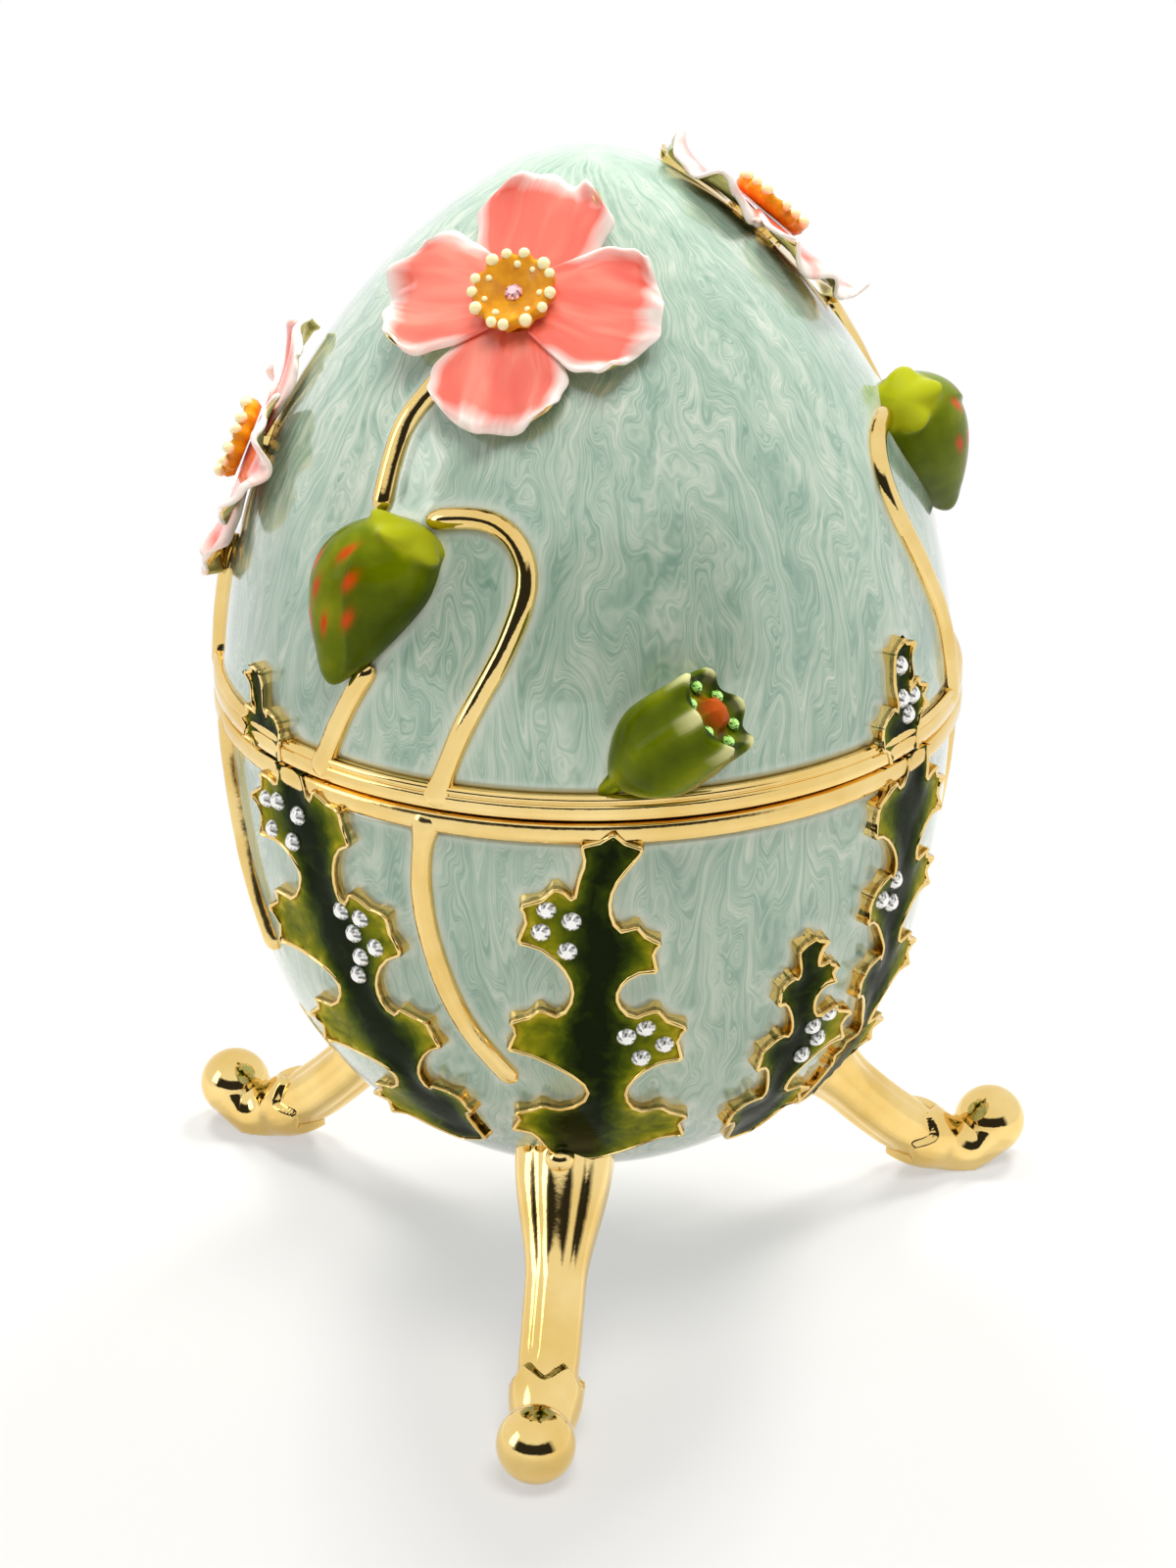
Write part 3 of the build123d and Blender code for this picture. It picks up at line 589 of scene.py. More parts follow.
# lobes are side of the rib, place on it, reach, spread and the notch that follows
legLobes = [(0, 24.8, 0.0, 3.4, 0.4), (1, 13.2, 5.4, 3.3, 1.8), (1, 4.0, 8.6, 4.2, 3.6),
            (1, -7.4, 9.8, 3.9, 1.7), (-1, -7.2, 6.4, 3.5, 0.0), (-1, 3.9, 7.7, 3.7, 2.3),
            (-1, 15.4, 7.8, 4.2, 2.7)]
leftLobes = [(0, 25.0, 0.0, 3.0, 2.1), (1, 16.0, 6.4, 3.7, 2.4), (1, 5.9, 7.7, 4.5, 2.4),
             (1, -4.2, 6.8, 3.2, 2.0), (1, -12.2, 4.8, 2.7, 1.7), (-1, -12.6, 7.4, 3.2, 2.0),
             (-1, -3.6, 9.4, 3.6, 2.6), (-1, 6.6, 9.8, 3.9, 2.4), (-1, 17.0, 7.4, 4.2, 1.7)]
rightLobes = [(0, 22.6, 0.0, 2.8, 2.2), (1, 14.8, 6.2, 3.4, 2.2), (1, 7.2, 6.2, 3.1, 2.0),
              (1, -1.0, 6.0, 3.1, 2.0), (1, -9.4, 5.2, 3.0, 1.7), (-1, -9.6, 3.2, 2.5, 1.2),
              (-1, -1.2, 4.4, 2.8, 2.0), (-1, 6.8, 5.8, 3.2, 2.4), (-1, 15.4, 6.8, 3.4, 2.0)]
smallLobes = [(0, 14.2, 0.0, 2.2, 1.2), (1, 9.4, 3.6, 2.0, 1.5), (1, 2.4, 6.8, 3.7, 1.7),
              (1, -6.4, 5.0, 2.8, 1.7), (-1, -6.0, 4.6, 2.8, 1.7), (-1, 2.0, 4.3, 2.8, 1.2),
              (-1, 8.8, 3.5, 2.0, 1.2)]
leftTipLobes = [(0, 8.4, 0.0, 1.9, 1.2), (1, 2.4, 3.8, 2.2, 1.7), (-1, 2.8, 3.5, 2.2, 1.1)]
rightTipLobes = [(0, 11.2, 0.0, 2.3, 1.2), (1, 5.0, 3.5, 2.3, 1.7), (-1, 3.2, 4.6, 2.6, 1.8)]
legStones = [(-5.0, 16.8), (-2.8, 16.0), (-5.3, 14.6), (-2.9, 13.1), (4.5, 5.6), (2.9, 4.7), (6.3, 3.7),
             (4.4, 2.3)]
leftStones = [(-4.8, 18.3), (-2.9, 18.2), (-0.3, 17.0), (-5.0, 15.6), (-2.2, 14.6), (1.6, 8.3), (3.6, 7.5),
              (2.1, 6.1), (4.0, 4.6), (1.8, 3.8), (0.6, 2.1)]
rightStones = [(-1.2, 8.4), (-3.0, 7.0), (-1.2, 6.2)]
smallStones = [(3.6, 4.6), (1.9, 3.8), (3.0, 1.9), (1.6, 0.4)]
tipStones = [(-0.3, 8.6), (1.3, 5.5), (-0.5, 5.7), (0.3, 4.0)]
legLeaf = (-25.0, -5.0, -14.0, legLobes, legStones)
smallLeaf = (-27.0, 0.0, -12.0, smallLobes, smallStones)
leaves = {  # the enamel in it, azimuth, height, tilt, foot, lobes and stones
    "front_leg_leaf": ("leg_leaf_enamel", 6.0, *legLeaf),
    "right_leg_leaf": ("leg_leaf_enamel", 124.0, *legLeaf),
    "left_leg_leaf": ("leg_leaf_enamel", -106.0, *legLeaf),
    "left_side_leaf": ("side_leaf_enamel", -32.0, -20.0, 19.0, -18.0, leftLobes, leftStones),
    "right_side_leaf": ("side_leaf_enamel", 61.5, -20.0, -4.0, -17.0, rightLobes, rightStones),
    "right_small_leaf": ("small_leaf_enamel", 42.0, *smallLeaf),
    "back_small_leaf": ("small_leaf_enamel", 186.0, *smallLeaf),
    "left_leaf_tip": ("leaf_tip_enamel", -49.0, 0.0, 18.0, -4.0, leftTipLobes, []),
    "right_leaf_tip": ("leaf_tip_enamel", 60.5, 0.0, 0.0, -4.0, rightTipLobes, tipStones),
}


def bow(start, middle, end, count):  # points along the curve through three places, without the last
    points = []
    for step in range(count):
        t = step / count
        weights = ((1 - t) * (1 - 2 * t), 4 * t * (1 - t), t * (2 * t - 1))
        points.append(tuple(sum(w * p[axis] for w, p in zip(weights, (start, middle, end))) for axis in (0, 1)))
    return points


def leafOutline(lobes, bottom):  # clockwise from the top lobe, with the tips of the teeth
    foot = [(leafForm["waist"], bottom), (-leafForm["waist"], bottom)]
    lobeEdges, tips = [], []
    for side, place, reach, spread, notch in lobes:
        axis = {0: 90.0, 1: leafForm["slant"], -1: 180.0 - leafForm["slant"]}[side]
        middle = (side * (reach - spread), place if side else place - spread)
        teeth = []
        for index, angle in enumerate(leafForm["toothAngles"]):
            radius = spread if index % 2 else spread * (1 - leafForm["toothDepth"])
            turn = radians(axis + angle)
            teeth.append((middle[0] + radius * cos(turn), middle[1] + radius * sin(turn)))
        lobeEdges.append((side, teeth, notch))
        tips += teeth[1::2]
    outline = []
    for (side, teeth, notch), (nextSide, nextTeeth, _) in zip(lobeEdges, lobeEdges[1:] + lobeEdges[:1]):
        for start in range(0, len(teeth) - 2, 2):
            outline += bow(*teeth[start:start + 3], 5)
        if side == 1 and nextSide == -1:
            for start, end in zip([teeth[-1], *foot], [*foot, nextTeeth[0]]):
                middle = ((start[0] + end[0]) / 2, (start[1] + end[1]) / 2)
                outline += bow(start, middle, end, 5)
        else:
            bend = (nextSide or side) * notch
            outline += bow(teeth[-1], (bend, (teeth[-1][1] + nextTeeth[0][1]) / 2), nextTeeth[0], 7)
    near = zip(outline[-1:] + outline[:-1], outline, outline[1:] + outline[:1])  # rounds the notches
    return [tuple(a * 0.25 + b * 0.5 + c * 0.25 for a, b, c in zip(*three)) for three in near], tips


def leafTray(outline, tips):  # a rounded gold rim, knobbed at the teeth; gives back its inner edge too
    bm = bmesh.new()
    face = bm.faces.new([bm.verts.new((x, y, leafForm["wallTop"])) for x, y in reversed(outline)])
    outer = ringEdges(face.verts)
    for thickness, height in leafForm["rimSteps"]:
        bmesh.ops.inset_region(bm, faces=[face], thickness=thickness, use_even_offset=True, use_boundary=True)
        for vert in face.verts:
            vert.co.z = height
    inside = [(vert.co.x, vert.co.y) for vert in face.verts]
    inner = ringEdges(face.verts)
    for vert in bm.verts:
        away = min(hypot(vert.co.x - x, vert.co.y - y) for x, y in tips)
        vert.co.z += leafForm["knob"] * exp(-(away / leafForm["knobReach"]) ** 2)
    bmesh.ops.delete(bm, geom=[face], context="FACES_ONLY")
    loops = []
    for edges in (outer, inner):
        ring, grown = grow(bm, edges)
        for vert in ring:
            vert.co.z = leafForm["foot"]
        loops += grown
    bmesh.ops.bridge_loops(bm, edges=loops)
    outward(bm)
    return bm, inside


def leafFill(inside):  # enamel poured inside the rim, dished, thin at the edges
    bm = bmesh.new()
    bm.faces.new([bm.verts.new((x, y, 0.0)) for x, y in inside])
    for axis in (0, 1):
        values = [point[axis] for point in inside]
        normal = (1, 0, 0) if axis == 0 else (0, 1, 0)
        place = min(values) + leafForm["gridPitch"] / 2
        while place < max(values):
            cutAt(bm, tuple(place * value for value in normal), normal)
            place += leafForm["gridPitch"]
    edge = treeOf([(x, y, 0.0) for x, y in inside])
    thin = bm.verts.layers.float.new("thin")
    for vert in bm.verts:
        shore = edge.find((vert.co.x, vert.co.y, 0.0))[2]
        offRib = leafForm["ribThin"] * ease(0.5, 4.6, abs(vert.co.x))
        vert[thin] = offRib + leafForm["shoreThin"] * (1 - ease(0.0, leafForm["shoreRun"], shore))
        vert.co.z = leafForm["fill"] - leafForm["dish"] * ease(0.0, leafForm["dishRun"], shore)
    return bm


# the glint numbers spread the painted reflections over the facets, and set the table's
stoneForm = {"radius": 0.86, "tiers": ((1.0, 0.22), (0.8, 0.462), (0.5, 0.66)), "facets": 8, "sink": 0.1,
             "paintedGlint": 2.4, "tablePaintedGlint": 0.85}


def cutStone(place, scale):  # flat back, girdle, two tiers of facets and a table
    bm = bmesh.new()
    radius = stoneForm["radius"] * scale
    bmesh.ops.create_circle(bm, cap_ends=True, radius=radius, segments=stoneForm["facets"] * 2)
    face = bm.faces[:][0]
    twist = Matrix.Rotation(pi / stoneForm["facets"] / 2, 4, "Z")
    for width, height in stoneForm["tiers"]:
        face = bmesh.ops.extrude_discrete_faces(bm, faces=[face])["faces"][0]
        for vert in face.verts:
            flat = Vector((vert.co.x, vert.co.y, 0.0)).normalized() * radius * width
            vert.co = twist @ Vector((flat.x, flat.y, height * scale))
    bmesh.ops.triangulate(bm, faces=[f for f in bm.faces if len(f.verts) == 4])
    paintedGlint = bm.faces.layers.float.new("paintedGlint")
    # each facet gets a painted glint: a fixed light or dark share that stands in for its reflection
    for index, facet in enumerate(bm.faces):
        turned = 0.5 + 0.5 * sin(index * stoneForm["paintedGlint"])
        facet[paintedGlint] = turned if len(facet.verts) < 5 else stoneForm["tablePaintedGlint"]
    outward(bm)
    move(bm, place @ Matrix.Translation((0, 0, -stoneForm["sink"] * scale)))
    return bm


def seatedPlace(place, x, y, lift):  # like the place, but square on the egg under that spot
    point = seatOn(place, x, y, lift)
    normal = eggDistance(point)[1]
    up = normal.cross(place.col[0].to_3d()).normalized()
    return placeFrom(up.cross(normal), up, normal, point)


fills = {}
leafStones = {"cup": bmesh.new(), "lid": bmesh.new()}
for leafNode, (fillNode, azimuth, height, tilt, bottom, lobes, stones) in leaves.items():
    seat = surfaceFrame(azimuth, height, turn=tilt)
    half = "lid" if leafNode.endswith("tip") else "cup"
    outline, tips = leafOutline(lobes, bottom)
    tray, inside = leafTray(outline, tips)
    fill = leafFill(inside)
    wrap(tray, seat)
    wrap(fill, seat)
    goldBorders += [seatOn(seat, x, y, 0.0) for x, y in outline]
    limit = egg["seam"] + (egg["slit"] if half == "lid" else 0.0)
    for part in (tray, fill):  # both stop at the slit between lid and cup
        cutAt(part, (0, 0, limit), (0, 0, upward[half]), clear=True)
    bmesh.ops.holes_fill(tray, edges=[edge for edge in tray.edges if edge.is_boundary], sides=0)
    for x, y in stones:
        addMesh(leafStones[half], cutStone(seatedPlace(seat, x, y, leafForm["stoneLift"]), 1.0))
    finishPiece(tray, "tray_" + leafNode, leafNode, [polishedGold], sharp=60)
    addMesh(fills.setdefault(fillNode, bmesh.new()), fill)
for fillNode, fill in fills.items():
    piece = finishPiece(fill, "fill_" + fillNode, fillNode, [leafEnamel])
    thicken(piece, "pour", leafForm["pour"])
for half, stones in leafStones.items():
    finishPiece(stones, half + "_stones", half + "_leaf_stones", [clearStone], smooth=False)
print("leaves made:", len(leaves))


# flowers
flowerForm = {"length": 12.6, "root": 1.6, "width": 6.25, "lower": 0.9, "upper": 1.45, "ruffle": 0.7,
              "curl": 1.5, "cup": 0.9, "cornerDrop": 2.6, "lipDrop": 0.5, "thickness": 0.5, "rows": 30,
              "columns": 34}
dishForm = {"seat": 1.6, "radius": 3.5, "height": 1.45, "hollow": 0.85, "furrow": 0.06, "beads": 13,
            "innerBeads": 7, "bead": 0.52, "gem": 0.9, "gemLift": 0.1}
flowers = {"top_flower": (-13.9, 39.4, 0.0), "right_flower": (117.0, 40.3, 20.0),
           "left_flower": (-86.0, 21.2, 10.0)}


def petal(place, direction, lift, which):  # u runs across it and t from its root to its tip
    bm = bmesh.new()
    bmesh.ops.create_grid(bm, x_segments=flowerForm["columns"], y_segments=flowerForm["rows"], size=1.0)
    across, along, edge, number = newLayers(bm, "across", "along", "edge", "which")
    turn = Matrix.Rotation(radians(direction - 90.0), 4, "Z")
    for vert in bm.verts:
        u, t = vert.co.x, (vert.co.y + 1) / 2
        wave = sin(5.2 * u + 1.9 * which) + 0.6 * sin(9.1 * u + 3.3 * which + 1.0)
        notch = 0.45 * noise.noise(Vector((2.6 * u, 4.7 * which, 0.0))) + 0.2 * wave
        wide = flowerForm["width"] * (0.48 + 0.52 * sin(pi / 2 * min(1.0, t * 1.5)))
        wide *= 1 - 0.2 * ease(0.75, 1.0, t)
        x = u * wide * (1 + 0.035 * sin(13 * t + 2 * which) * ease(0.2, 0.5, t))
        reach = flowerForm["length"] - flowerForm["root"] + notch * ease(0.55, 1.0, t)
        y = flowerForm["root"] + t * reach - flowerForm["cornerDrop"] * t * t * u * u
        rim = max(ease(0.56, 1.0, abs(u)) * ease(0.02, 0.3, t), ease(0.64, 1.0, t))
        ruffle = flowerForm["ruffle"] * wave * (0.25 * t + 0.75 * rim * t)
        z = lift + flowerForm["curl"] * t * t + flowerForm["cup"] * u * u * t + ruffle
        z -= flowerForm["lipDrop"] * ease(0.93, 1.0, max(t, abs(u)))
        vert[across], vert[along], vert[edge], vert[number] = u, t, rim, which * 3.7
        vert.co = turn @ Vector((x, y, max(z, lift * 0.8)))
    wrap(bm, place)
    return bm


def flowerDish(place):
    wide, tall, hollow, beads = (dishForm[name] for name in ("radius", "height", "hollow", "beads"))
    bm = spun([(0.0, 0.0), (wide * 0.9, 0.0), (wide, 0.5), (wide, tall * 0.8), (wide * 0.94, tall),
               (wide * 0.8, tall * 0.96), (wide * 0.5, tall - hollow * 0.8), (0.0, tall - hollow)], beads * 4)
    for vert in bm.verts:  # a furrow between the beads
        around = atan2(vert.co.y, vert.co.x)
        outer = ease(0.4, 1.0, hypot(vert.co.x, vert.co.y) / wide)
        vert.co *= 1 + dishForm["furrow"] * cos(beads * around) * outer
    newLayers(bm, "bead")
    for count, share, height, scale in ((beads, 0.97, 0.94, 1.0), (dishForm["innerBeads"], 0.7, 0.78, 0.6)):
        for index in range(count):
            around = 2 * pi * (index + 0.18 * sin(index * 2.3)) / count
            bead = bmesh.new()
            size = dishForm["bead"] * scale * (1 + 0.12 * sin(index * 4.1))
            bmesh.ops.create_icosphere(bead, subdivisions=2, radius=size)
            for layer in newLayers(bead, "bead"):
                for vert in bead.verts:
                    vert[layer] = 1.0
            spot = Vector((cos(around) * share * wide, sin(around) * share * wide, height * tall))
            move(bead, Matrix.Translation(spot))
            addMesh(bm, bead)
    move(bm, place)
    return bm


dishes, flowerStones = bmesh.new(), bmesh.new()
for count, (flowerNode, (azimuth, height, turn)) in enumerate(flowers.items()):
    seat = surfaceFrame(azimuth, height)
    for layer, first in (("lower", 90.0), ("upper", 0.0)):
        bm = bmesh.new()
        for side in (0, 1):
            which = 4 * count + 2 * side + (first > 0) + 1
            addMesh(bm, petal(seat, first + turn + 180.0 * side, flowerForm[layer], which))
        piece = finishPiece(bm, flowerNode + "_" + layer, flowerNode + "_" + layer + "_petals",
                            [coralEnamel, polishedGold])
        sheet = thicken(piece, "sheet", flowerForm["thickness"])
        sheet.material_offset, sheet.material_offset_rim = 1, 0  # gold backs
        smooth = piece.modifiers.new("soften", "SUBSURF")
        smooth.levels = smooth.render_levels = 1
    addMesh(dishes, flowerDish(surfaceFrame(azimuth, height, dishForm["seat"])))
    gemSeat = dishForm["seat"] + dishForm["height"] - dishForm["hollow"] + dishForm["gemLift"]
    addMesh(flowerStones, cutStone(surfaceFrame(azimuth, height, gemSeat), dishForm["gem"]))
finishPiece(dishes, "flower_dishes", "flower_discs", [amberEnamel])
finishPiece(flowerStones, "flower_gems", "flower_stones", [pinkStone], smooth=False)
print("flowers made:", len(flowers))


# buds
budForm = {"length": 15.6, "radius": 4.7, "lift": 0.9, "neck": 1.15, "neckAt": -0.86, "neckRun": 0.07,
           "overlap": 0.34, "dashLength": 0.12, "dashWidth": 0.09, "columns": 96, "rows": 72}
buds = {"front_bud": (-29.4, 16.8, 245.0, -1.0), "right_bud": (94.5, 21.7, 300.0, 1.0),
        "back_bud": (-166.0, 16.8, 245.0, -1.0)}
enamelMarks = ("paintedShading", "dash", "cream", "rust")  # on buds and pods: painted light and shade first, then the dash, cream and rust colour marks
budDashes = [(-0.25, 0.25), (0.1, -0.35), (0.15, 0.55), (0.38, 0.1), (-0.1, -0.75), (0.48, -0.5), (-0.45, -0.2)]


def budPiece(node, azimuth, height, direction, bulge):
    bm = bmesh.new()
    bmesh.ops.create_uvsphere(bm, u_segments=budForm["columns"], v_segments=budForm["rows"], radius=1.0)
    move(bm, Matrix.Rotation(pi / 2, 4, "Y"))
    paintedShading, dash, _, _ = newLayers(bm, *enamelMarks)
    for vert in bm.verts:
        t = max(-1.0, min(1.0, vert.co.x))  # -1 at the neck, 1 at the tip
        around = atan2(vert.co.y, vert.co.z)
        body = sqrt(max(0.0, 1 - t * t)) * (1 - 0.3 * t - 0.12 * t * t)
        collar = exp(-((t - budForm["neckAt"]) / budForm["neckRun"]) ** 2) * (0.55 + 0.45 * cos(5 * around))
        radius = budForm["radius"] * body + budForm["neck"] * collar
        seam = 0.35 + 0.9 * t
        fold = ease(-0.06, 0.06, around - seam) * ease(-0.75, -0.3, t) * ease(1.0, 0.6, t)
        radius += budForm["overlap"] * fold
        x = budForm["length"] / 2 * t + 0.5 * ease(0.75, 1.0, t)
        y = radius * sin(around) + bulge * (1.1 - 1.9 * t * t)
        # painted light and shade: lighter on the side away from the egg, darker underneath towards the egg and
        # in the fold, lighter towards the neck
        vert[paintedShading] = 0.5 + 0.22 * cos(around) - 0.25 * fold + 0.7 * ease(-0.7, -0.95, t)
        spots = [exp(-((t - a) / budForm["dashLength"]) ** 2 - ((around - b) / budForm["dashWidth"]) ** 2)
                 for a, b in budDashes]
        vert[dash] = min(1.0, 1.3 * max(spots))
        vert.co = Vector((x, y, radius * cos(around)))
    settle(bm, surfaceFrame(azimuth, height, budForm["lift"], direction))
    finishPiece(bm, node + "_drop", node, [oliveEnamel])


for budNode, budSpot in buds.items():
    budPiece(budNode, *budSpot)
print("buds made:", len(buds))


# pods
podForm = {"length": 11.5, "radius": 4.35, "crown": 4.05, "stalk": 0.95, "stalkLength": 2.4, "lift": 2.2,
           "tip": 28.0, "direction": 42.0, "lobes": 6, "lobeRise": 0.45, "rayRise": 0.55, "facet": 0.035,
           "dish": 0.9, "knob": 1.25, "steps": 96, "gem": 0.72, "gemDepth": 0.55, "gemClear": 0.5}
pods = {"front_pod": (16.7, 7.1), "right_pod": (136.7, 7.1), "left_pod": (-133.0, 7.1)}


def podProfile():  # radius and place along the axis, from the stalk to the knob in the crown
    wide, crown, stalk, knob, dish = (podForm[name] for name in ("radius", "crown", "stalk", "knob", "dish"))
    front, back = podForm["length"] / 2, -podForm["length"] / 2
    tail = back - podForm["stalkLength"]
    points = [(0.0, tail), (stalk, tail), (stalk, back - 0.6)]
    for step in range(13):
        t = step / 12
        points.append((stalk + (wide - stalk) * sin(pi / 2 * t) ** 0.85, back + t * (0.2 - back)))
    points += [(wide * 0.99, 2.0), (wide * 0.95, 3.6), (crown * 1.02, front - 0.7), (crown, front - 0.15),
               (crown * 0.93, front + 0.12), (crown * 0.82, front), (crown * 0.72, front - dish * 0.7),
               (crown * 0.55, front - dish), (knob * 1.15, front - dish * 0.6), (knob, front + 0.05),
               (knob * 0.75, front + 0.45), (knob * 0.35, front + 0.65), (0.0, front + 0.7)]
    return points


def podPiece(node, azimuth, height, stones):
    bm = spun(podProfile(), podForm["steps"])
    front, crown, knob, lobes = podForm["length"] / 2, podForm["crown"], podForm["knob"], podForm["lobes"]
    paintedShading, _, cream, rust = newLayers(bm, *enamelMarks)
    for vert in bm.verts:
        around = atan2(vert.co.y, vert.co.x)
        radius = hypot(vert.co.x, vert.co.y)
        lobe = cos(lobes * around)
        t = vert.co.z / front
        inCrown = ease(0.84, 1.0, t) * ease(1.0, 1.6, radius)
        facet = 1 + podForm["facet"] * lobe * ease(-0.8, 0.4, t)
        ray = ease(0.35, 0.95, lobe) * inCrown * ease(crown * 0.85, knob * 1.1, radius)
        lip = ease(crown * 0.78, crown * 0.95, radius) * ease(0.6, 1.0, t)
        # painted light and shade: lighter on the ridges of the lobes and darker between them, darker inside the
        # crown's dish, lighter towards the stalk
        vert[paintedShading] = 0.55 + 0.14 * lobe - 0.75 * inCrown * (1 - lip) + 0.2 * ease(0.0, -1.2, t)
        vert[cream] = 0.85 * lip * ease(0.2, 0.9, lobe)
        knobbed = ease(1.7, 1.3, radius) * ease(0.84, 0.95, t)
        vert[rust] = min(1.0, max(ray, knobbed) * 0.95)
        vert.co.x *= facet
        vert.co.y *= facet
        vert.co.z += podForm["lobeRise"] * lobe * lip + podForm["rayRise"] * ray
    turned = surfaceFrame(azimuth, height, podForm["lift"], podForm["direction"], podForm["tip"])
    place = turned @ Matrix.Rotation(pi / 2, 4, "Y") @ Matrix.Rotation(pi / 2, 4, "Z")
    settle(bm, place)
    ring, depth = (knob + crown) / 2, front - podForm["gemDepth"]
    for index in range(lobes):
        around = 2 * pi * (index + 0.5) / lobes
        spot = place @ Matrix.Translation((ring * cos(around), ring * sin(around), depth))
        if eggDistance(spot.translation)[0] > podForm["gemClear"]:
            addMesh(stones, cutStone(spot, podForm["gem"]))
    finishPiece(bm, node + "_bulb", node, [oliveEnamel])


podStones = bmesh.new()
for podNode, podSpot in pods.items():
    podPiece(podNode, *podSpot, podStones)
finishPiece(podStones, "pod_gems", "pod_stones", [greenStone], smooth=False)
print("pods made:", len(pods))


# legs
legForm = {"rootDrop": 39.0, "rootSink": 0.6, "ankleReach": 40.5, "ankleRadius": 2.2, "solePlay": 0.35,
           "ballReach": 43.2, "ballHeight": 3.9, "ball": 3.5, "knob": 1.35, "knobSpot": (0.0, 4.1, 0.9),
           "root": 4.5, "rootFall": 1.75, "shankFall": 0.55, "ridge": 0.1, "sleeveFrom": 0.56, "sleeve": 0.62,
           "points": 5, "pointRun": 0.075, "ankleSwell": 0.85, "toeSwell": 2.0, "steps": 110, "toeSteps": 14,
           "sides": 72}
legs = {"front_leg": 0.0, "right_leg": 118.0, "left_leg": -118.0}


def legRadius(s, around):  # a ridged shank that steps out into a sleeve with a pointed edge
    root = legForm["root"] - legForm["rootFall"] * ease(0.0, 0.3, s)
    shank = root - legForm["shankFall"] * ease(0.62, 1.0, s)
    ridges = legForm["ridge"] * (abs(cos(3 * around)) - 0.55) * ease(0.62, 0.5, s)
    point = abs(around * legForm["points"] / (2 * pi) % 1.0 * 2 - 1)
    edge = legForm["sleeveFrom"] + legForm["pointRun"] * point
    sleeve = ease(0.0, 0.018, s - edge) * (legForm["sleeve"] - 0.5 * ease(0.66, 0.95, s))
    swell = legForm["ankleSwell"] * ease(0.78, 1.0, s) + legForm["toeSwell"] * max(0.0, s - 1)
    return shank * (1 + ridges) + sleeve + swell


def legPiece(node, azimuth):
    root = surfaceFrame(0.0, -legForm["rootDrop"])
    out = root.col[2].to_3d()
    start = root.translation - out * legForm["rootSink"]
    ankle = Vector((0.0, -legForm["ankleReach"], legForm["ankleRadius"] - legForm["solePlay"]))
    bend = start + out * ((start.z - ankle.z) / -out.z)
    right = Vector((1.0, 0.0, 0.0))
    bm = bmesh.new()
    places = []
    toe = Vector((0.0, -legForm["ballReach"], legForm["ballHeight"]))
    for step in range(legForm["steps"] + legForm["toeSteps"] + 1):
        s = min(1.0, step / legForm["steps"])
        curl = max(0.0, (step - legForm["steps"]) / legForm["toeSteps"])  # past the ankle, up to the toe
        spot = start * (1 - s) ** 2 + bend * 2 * s * (1 - s) + ankle * s * s + (toe - ankle) * curl
        forward = ((bend - start) * (1 - s) + (ankle - bend) * s).normalized()
        forward = forward.lerp((toe - ankle).normalized(), curl).normalized()
        places.append(placeFrom(right, forward.cross(right), forward, spot))
    made = sweep(bm, places, legForm["sides"])
    inverse = [place.inverted() for place in places]
    for index, vert in enumerate(made):
        step = index // legForm["sides"]
        local = inverse[step] @ vert.co
        radius = legRadius(step / legForm["steps"], atan2(local.x, local.y))
        vert.co = places[step] @ (local.normalized() * radius)
    for radius, spot in ((legForm["ball"], toe), (legForm["knob"], root @ Vector(legForm["knobSpot"]))):
        ball = bmesh.new()
        bmesh.ops.create_uvsphere(ball, u_segments=40, v_segments=24, radius=radius)
        move(ball, Matrix.Translation(spot))
        addMesh(bm, ball)
    for vert in bm.verts:
        vert.co.z = max(vert.co.z, 0.0)
    keepOut(bm.verts, egg["sunk"])
    outward(bm)
    move(bm, Matrix.Rotation(radians(azimuth), 4, "Z"))
    finishPiece(bm, node + "_cast", node, [polishedGold])


for legNode, legAzimuth in legs.items():
    legPiece(legNode, legAzimuth)
print("legs made:", len(legs))


# rims, shells and collar
rimForm = {"lid": [(-0.5, 0.4), (0.74, 0.4), (0.86, 0.52), (0.88, 1.5), (0.8, 1.68), (0.66, 1.76), (0.66, 1.86),
                   (0.84, 1.96), (0.9, 2.14), (0.84, 2.38), (0.6, 2.56), (0.2, 2.6), (-0.5, 2.6)],
           "cup": [(-0.5, 0.0), (0.72, 0.0), (0.86, 0.14), (0.9, 0.6), (0.88, 1.3), (0.76, 1.66), (0.5, 1.86),
                   (0.1, 1.9), (-0.5, 1.9)], "steps": 256}
for half in upward:
    profile = []
    for proud, height in rimForm[half]:
        place = surfaceFrame(0.0, upward[half] * max(height, 0.001), proud)
        profile.append((-place.translation.y, egg["seam"] + upward[half] * height))
    bm = spun(profile, rimForm["steps"], closed=True)
    finish = polishedGold if half == "lid" else satinGold
    finishPiece(bm, half + "_rim_band", half + "_rim", [finish], sharp=50)


def meridianWalk(half, mouth, offset, pitch):  # radius and height, from the mouth to the pole
    _, join, side, cap, capCentre = arcs[half]
    start, total = side * asin(mouth / side), side * join + cap * (pi / 2 - join)
    count = max(8, round((total - start) / pitch))
    walk = []
    for step in range(count + 1):
        run = start + (total - start) * step / count
        past = run - side * join  # over the side arc, on the cap
        rise = side * sin(run / side) if past < 0 else capCentre + cap * sin(join + past / cap)
        spot = surfaceFrame(0.0, upward[half] * rise, offset).translation
        walk.append((-spot.y if step < count else 0.0, spot.z))
    return walk


skinForm = {"pitch": 0.62, "steps": 360, "swell": 0.16, "borderReach": 1.25, "outside": 0.2, "insidePitch": 3.0}
shellForm = {"pitch": 1.6, "steps": 160}
collarForm = {"wall": 1.0, "seat": 6.0, "rise": 2.5, "clearance": 0.25, "round": 0.25, "steps": 192}

